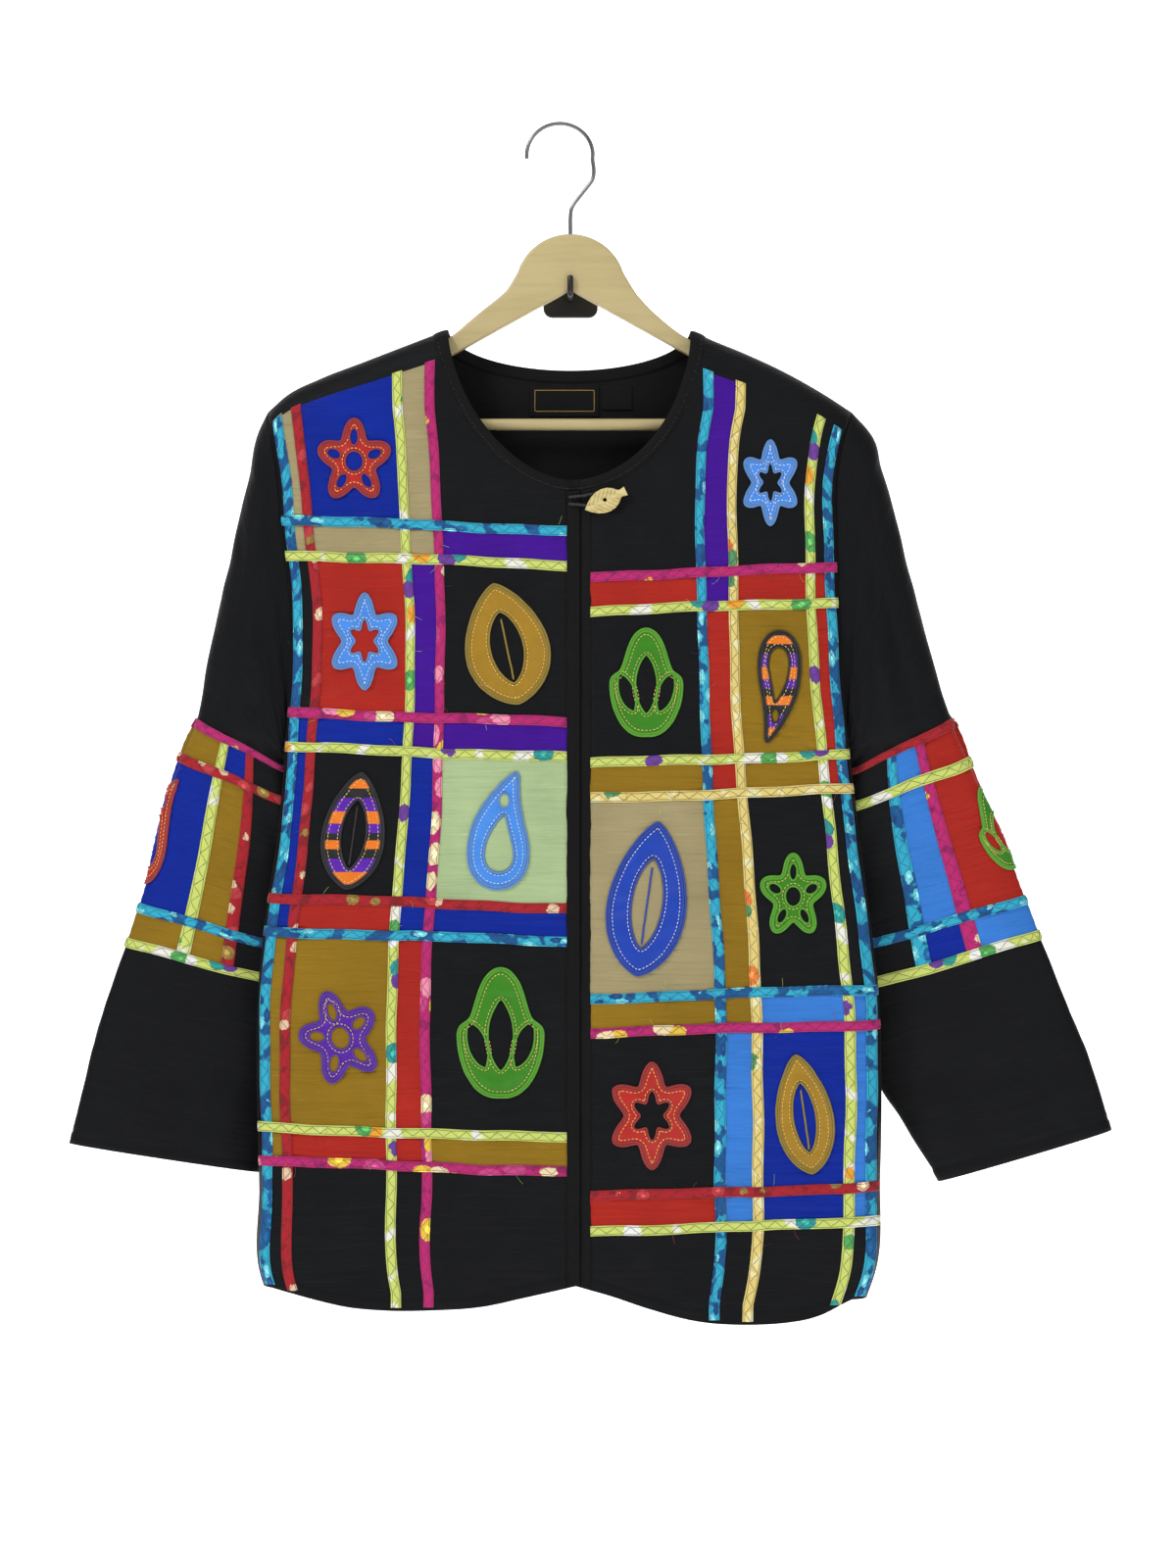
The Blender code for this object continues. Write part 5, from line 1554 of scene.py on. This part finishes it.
birch = woodFinish("birch", (0.54, 0.44, 0.215), (0.485, 0.39, 0.18))
steelFinish = Finish("steelWire", roughness=0.3, metallic=1.0)
brushed = steelFinish.streaks(steelFinish.place(), (900, 900, 60), 2.0, 0.5)
# painted shade: the steel's colour is kept darker than steel, standing in for the dark surroundings its
# reflections would show
steelFinish.set("Base Color", steelFinish.shade((0.23, 0.23, 0.235), 0.8 + 0.4 * brushed))
steelFinish.set("Roughness", 0.22 + 0.2 * brushed)
blackPaint = Finish("blackPaint", roughness=0.32, specular=0.5)
orange = blackPaint.noise(blackPaint.place(), 700.0, 2.0, 0.5)
blackPaint.set("Base Color", blackPaint.shade((0.009, 0.009, 0.010), 0.8 + 0.4 * orange))
blackPaint.set("Roughness", 0.26 + 0.14 * orange)
blackPaint.set("Normal", blackPaint.bump(orange, 0.0001, 0.3))


def splineThrough(points, steps):
    points = np.array(points, float)
    padded = np.vstack([2 * points[0] - points[1], points, 2 * points[-1] - points[-2]])
    found = []
    for a, b, c, d in zip(padded, padded[1:], padded[2:], padded[3:]):
        for t in np.arange(steps) / steps:
            square, cube = 2 * a - 5 * b + 4 * c - d, 3 * b - a - 3 * c + d
            found.append(0.5 * (2 * b + (c - a) * t + square * t**2 + cube * t**3))
    return np.array([*found, points[-1]])


def flatPiece(name, outline, finish, depth, bevel):
    # a closed outline (across, up), filled, made deep both ways and rounded, and turned to stand up
    bpy.ops.object.select_all(action="DESELECT")
    bpy.ops.curve.primitive_bezier_circle_add(radius=0.01)
    piece = bpy.context.object
    piece.name = name
    curve = piece.data
    curve.splines.clear()
    line = curve.splines.new("POLY")
    line.points.add(len(outline) - 1)
    for target, (across, up) in zip(line.points, outline):
        target.co = (across * mm, up * mm, 0, 1)
    line.use_cyclic_u = True
    curve.dimensions = "2D"
    curve.fill_mode = "BOTH"
    curve.extrude = depth * mm
    curve.bevel_depth = bevel * mm
    curve.bevel_resolution = 4
    curve.offset = -bevel * mm
    curve.materials.append(finish)
    piece.rotation_euler = (pi / 2, 0, 0)
    bpy.ops.object.convert(target="MESH")
    bpy.ops.object.transform_apply(location=True, rotation=True, scale=True)
    return bpy.context.object


def tidyMesh(piece, smoothAngle=35):
    select(piece)
    bpy.ops.object.mode_set(mode="EDIT")
    bpy.ops.mesh.select_all(action="SELECT")
    bpy.ops.mesh.remove_doubles(threshold=0.00001)
    bpy.ops.mesh.normals_make_consistent(inside=False)
    bpy.ops.object.mode_set(mode="OBJECT")
    bpy.ops.object.shade_smooth_by_angle(angle=radians(smoothAngle))


def hangerOutline():
    halves = []
    for side in (right, left):
        top = []
        for turn in range(0, 75, 6):
            angle = radians(turn)
            rise = hanger["domeTop"] - hanger["domeRadius"] * (1 - cos(angle))
            top.append((hanger["domeRadius"] * sin(angle), rise))
        top += [(out, -drop) for out, drop in hanger["armTops"][side["name"]]]
        for out in (115, 150, 175, 190):
            top.append((out, -float(np.interp(out, *zip(*side["shoulder"]))) - 4.4))
        top = splineThrough(top, 4).tolist()
        tip = splineThrough([(out, -drop) for out, drop in hanger["tip"]], 3).tolist()
        under = [(out, -drop) for out, drop in hanger["under"]] + [(0, -hanger["crotch"])]
        halves.append(np.array(top + tip + under) * (side["sign"], 1))
    # from the top down the wearer's left, under, and up the wearer's right
    return np.concatenate([halves[1], halves[0][-2:0:-1]])


halfFlat = hanger["thick"] / 2 - hanger["round"]
woodBody = flatPiece("hangerWood", hangerOutline(), birch, halfFlat, hanger["round"])
woodBody.location.y = cloth["hangerY"] * mm
select(woodBody)
bpy.ops.object.transform_apply(location=True, rotation=False, scale=False)
tidyMesh(woodBody)
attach(woodBody, "root")
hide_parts("hanger")

drop, radius, half = hanger["bar"]
bpy.ops.object.select_all(action="DESELECT")
bpy.ops.mesh.primitive_cylinder_add(
    vertices=32, radius=radius * mm, depth=2 * half * mm, rotation=(0, pi / 2, 0),
    location=(0, cloth["hangerY"] * mm, -drop * mm),
)
bar = bpy.context.object
bar.name = "hangerBar"
bar.data.materials.append(birch)
bpy.ops.object.transform_apply(location=True, rotation=True, scale=True)
tidyMesh(bar)
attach(bar, "root")
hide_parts("hanger_bar")

wirePoints = [(0, 24), (0, 42.9), (0.1, 53), (1.6, 60.2), (8.6, 69.6), (15.2, 78), (17.2, 82.3), (17.7, 88)]
for turn in range(-8, 193, 12):
    wirePoints.append((-8 + 25 * cos(radians(turn)), 98.8 + 24 * sin(radians(turn))))
wirePath = np.array([(x, cloth["hangerY"], z) for x, z in splineThrough(wirePoints, 5)])
# its end is rounded off in three steps
ahead = unit(wirePath[-1] - wirePath[-2])
wirePath = np.vstack([wirePath, wirePath[-1] + np.outer([0.5, 1.0, 1.3], ahead)])
radii = np.full(len(wirePath), hanger["wire"])
radii[-3:] *= (0.92, 0.66, 0.25)
batch = Batch()
batch.add(*tubeMesh(wirePath, (0, 1, 0), radii, 20))
steelHook = batch.build("steelHook", [steelFinish.material])
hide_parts("hanger_hook")

# the wall hook: a rounded plate and a rod that turns up
hookPlan = {"side": 41.4, "thick": 4.0, "corner": 7.0, "rod": 2.2, "bend": 4.0, "top": 7.4}
bpy.ops.object.select_all(action="DESELECT")
bpy.ops.mesh.primitive_cube_add(size=1, location=(0, -hookPlan["thick"] / 2 * mm, 0))
plate = bpy.context.object
plate.name = "wallHook"
plate.scale = (hookPlan["side"] * mm, hookPlan["thick"] * mm, hookPlan["side"] * mm)
bpy.ops.object.transform_apply(location=True, rotation=True, scale=True)


def bevelEdges(piece, isChosen, offset, segments):
    bpy.ops.object.mode_set(mode="EDIT")
    bpy.ops.mesh.select_all(action="DESELECT")
    shape = bmesh.from_edit_mesh(piece.data)
    for edge in shape.edges:
        edge.select = isChosen(*(vert.co for vert in edge.verts))
    bmesh.update_edit_mesh(piece.data)
    bpy.ops.mesh.bevel(offset=offset * mm, segments=segments)
    bpy.ops.object.mode_set(mode="OBJECT")


# the plate's four corners, then the rim of its face
bevelEdges(plate, lambda a, b: abs(a.x - b.x) < 1e-6 and abs(a.z - b.z) < 1e-6, hookPlan["corner"], 8)
bevelEdges(plate, lambda a, b: max(a.y, b.y) < -hookPlan["thick"] * mm * 0.9, 1.0, 3)
plate.data.materials.append(blackPaint.material)
low = -hanger["crotch"] - hookPlan["rod"] - 0.4
ahead = cloth["hangerY"] - hanger["thick"] / 2 - hookPlan["rod"] - 0.8
bend = hookPlan["bend"]
path = [(0, -2.0, low), (0, ahead + bend, low)]
for step in range(1, 9):
    angle = pi / 2 * step / 8
    path.append((0, ahead + bend * (1 - sin(angle)), low + bend * (1 - cos(angle))))
path += [(0, ahead, hookPlan["top"] - below) for below in (1.2, 0.5, 0.1)]
radii = np.full(len(path), hookPlan["rod"])
radii[-2:] *= (0.85, 0.45)
batch = Batch()
batch.add(*tubeMesh(path, (1, 0, 0), radii, 20))
rod = batch.build("wallRod", [blackPaint.material])
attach(plate, "root")
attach(rod, "root")
plate.data.polygons.foreach_set("use_smooth", np.full(len(plate.data.polygons), True))
bpy.ops.object.shade_smooth_by_angle(angle=radians(35))
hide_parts("wall_hook")

# the carved leaf button and the cord that goes round it
button = {"out": 26.5, "drop": 163.5, "turn": 25, "cord": 1.1}
# the leaf's upper edge, from its tip to the end of its stem
leafEdge = [(-17, 0.12), (-16.2, 0.9), (-13.5, 3.6), (-9, 6.7), (-4.5, 8.5), (0, 9), (4.5, 8.2), (8, 6.3)]
leafEdge += [(10.6, 3.9), (11.8, 2.9), (13, 2.8), (16.4, 3.5), (16.6, 3.4)]
buttonWood = woodFinish("buttonWood", (0.72, 0.60, 0.27), (0.52, 0.40, 0.145), (60, 260, 260), 0.1)
faceY = float(frontY(left, button["out"], button["drop"]))
loopY = faceY - 0.3 - button["cord"]
near = loopY - button["cord"] - 0.3


def buildButton():
    long = fineSteps([-17, -16.2, -13, 10.6, 11.8, 13, 16.4, 16.6], 0.5)[:, None]
    s = np.linspace(-1, 1, 41)[None, :]
    rows, columns = len(long), 41
    half = np.interp(long[:, 0], *np.array(leafEdge).T)[:, None]
    x = np.broadcast_to(long, (rows, columns))
    z = s * half
    inset = half * (1 - np.abs(s))
    dome = 0.9 * rounding(inset / 1.2) + 0.5 * (1 - s**2)
    # a raised rib down the middle, and grooves that slant from it towards the stem
    isLeaf = smooth((11.5 - x) / 1.5)
    rib = 0.5 * np.exp(-((z / 0.7) ** 2)) * isLeaf
    slant = (x - np.abs(z) * 0.8) / 3.5
    veins = 0.95 * np.exp(-(((slant - np.round(slant)) * 3.5 / 0.55) ** 2)) * smooth((np.abs(z) - 0.9) / 0.7)
    veins = veins * smooth(inset / 1.0) * isLeaf
    top = near - 1.8 - dome - rib + veins
    low = np.full((rows, columns), near) - 0.15
    points = []
    spun = rotated(np.stack([x, z], axis=-1).reshape(-1, 2), radians(button["turn"]))
    spun += (button["out"], -button["drop"])
    for y in (top, low):
        points.append(np.stack([spun[:, 0], y.ravel(), spun[:, 1]], axis=-1))
    count = rows * columns
    faces = gridFaces(rows, columns).tolist() + gridFaces(rows, columns, start=count)[:, ::-1].tolist()
    # once round the grid's edge, joining the top to the underside
    index = np.arange(count).reshape(rows, columns)
    rim = np.concatenate([index[:, 0], index[-1, 1:], index[-2::-1, -1], index[0, -2:0:-1]])
    faces += [[a, b, b + count, a + count] for a, b in zip(rim, np.roll(rim, -1))]
    piece = meshPiece("leafButton", np.concatenate(points), faces, [buttonWood])
    tidyMesh(piece, 60)
    bpy.ops.object.select_all(action="DESELECT")
    bpy.ops.mesh.primitive_cylinder_add(
        vertices=20, radius=1.5 * mm, depth=0.03, rotation=(pi / 2, 0, 0),
        location=((button["out"] - 0.6) * mm, near * mm, (0.2 - button["drop"]) * mm),
    )
    drill = bpy.context.object
    select(piece)
    hole = piece.modifiers.new("hole", "BOOLEAN")
    hole.operation = "DIFFERENCE"
    hole.object = drill
    bpy.ops.object.modifier_apply(modifier="hole")
    bpy.data.objects.remove(drill, do_unlink=True)
    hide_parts("button")


buildButton()
loopPoints = [(-1, 161), (9, 160), (19, 158.5), (27, 159.5), (31, 163.5)]
loopPoints += [(27, 167.5), (19, 168.5), (9, 167), (-1, 166)]
loopPath = np.array([(x, loopY, -z) for x, z in splineThrough(loopPoints, 12)])
batch = Batch()
up = np.array((0, -1.0, 0))
aside = np.cross(unit(np.gradient(loopPath, axis=0)), up)
# two strands twisted round each other
for strand in (0, 1):
    turns = tau * np.arange(len(loopPath)) / 7 + pi * strand
    path = loopPath + 0.5 * (np.cos(turns)[:, None] * up + np.sin(turns)[:, None] * aside)
    batch.add(*tubeMesh(path, up, 0.6, 8))
loopCord = batch.build("buttonLoop", [threadFinish("blackCord", (0.014, 0.014, 0.015))])
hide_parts("loop")
print("hanger, hook, button and loop done")

# the stage: a pale floor and a wall that curves up far behind, soft lights, and the camera
# all in metres
stagePlan = {"floor": -1.75, "front": -4.5, "wall": 2.2, "curve": 0.8, "top": 3.2, "wide": 9.0}
curveStart = stagePlan["wall"] - stagePlan["curve"]
profile = [(stagePlan["front"], stagePlan["floor"]), (curveStart, stagePlan["floor"])]
for step in range(1, 13):
    angle = pi / 2 * step / 12
    rise = stagePlan["curve"] * (1 - cos(angle))
    profile.append((curveStart + stagePlan["curve"] * sin(angle), stagePlan["floor"] + rise))
profile.append((stagePlan["wall"], stagePlan["top"]))
stagePoints = [(x, y, z) for y, z in profile for x in (-stagePlan["wide"] / 2, stagePlan["wide"] / 2)]
stageFinish = Finish("paleStage", roughness=0.9)
stageFinish.set("Base Color", (0.93, 0.93, 0.93, 1))
stageFinish.set("Emission Color", (1, 1, 1, 1))
stageFinish.set("Emission Strength", 0.8)
stageMesh = bpy.data.meshes.new("stage")
stageMesh.from_pydata(stagePoints, [], gridFaces(len(profile), 2).tolist())
stageMesh.materials.append(stageFinish.material)
stage = addObject("stage", stageMesh)
stage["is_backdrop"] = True

world = bpy.data.worlds.new("studio")
bpy.context.scene.world = world
world.use_nodes = True
background = world.node_tree.nodes["Background"]
background.inputs["Color"].default_value = (1, 1, 1, 1)
background.inputs["Strength"].default_value = 0.26
# where each lamp is, its width, its power, and where it looks
for name, place, size, power, aim in (
    ("key", (-1.8, -1.9, 1.6), 0.8, 44, (0, 0, -0.35)),
    ("fill", (1.9, -2.6, 0.2), 1.8, 15, (0, 0, -0.4)),
    ("top", (0.3, -0.9, 2.0), 1.6, 13, (0, 0, -0.3)),
):
    lamp = bpy.data.lights.new(name, "AREA")
    lamp.energy = power
    lamp.size = size
    light = addObject(name, lamp)
    light.location = place
    light.rotation_euler = (Vector(aim) - Vector(place)).to_track_quat("-Z", "Y").to_euler()

view = {"away": 3.2, "high": 1.184, "across": 0.0133, "up": -0.3759}
lens = bpy.data.cameras.new("camera")
lens.sensor_fit = "VERTICAL"
lens.sensor_height = 24
lens.lens = lens.sensor_height * view["away"] / view["high"]
lens.clip_end = 50
camera = addObject("camera", lens)
camera.location = (view["across"], cloth["hangerY"] * mm - view["away"], view["up"])
camera.rotation_euler = (pi / 2, 0, 0)
bpy.context.scene.camera = camera

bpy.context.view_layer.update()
meshes = [item.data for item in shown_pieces() if item.type == "MESH"]
triangles = sum(len(polygon.vertices) - 2 for mesh in meshes for polygon in mesh.polygons)
print("triangles", triangles)
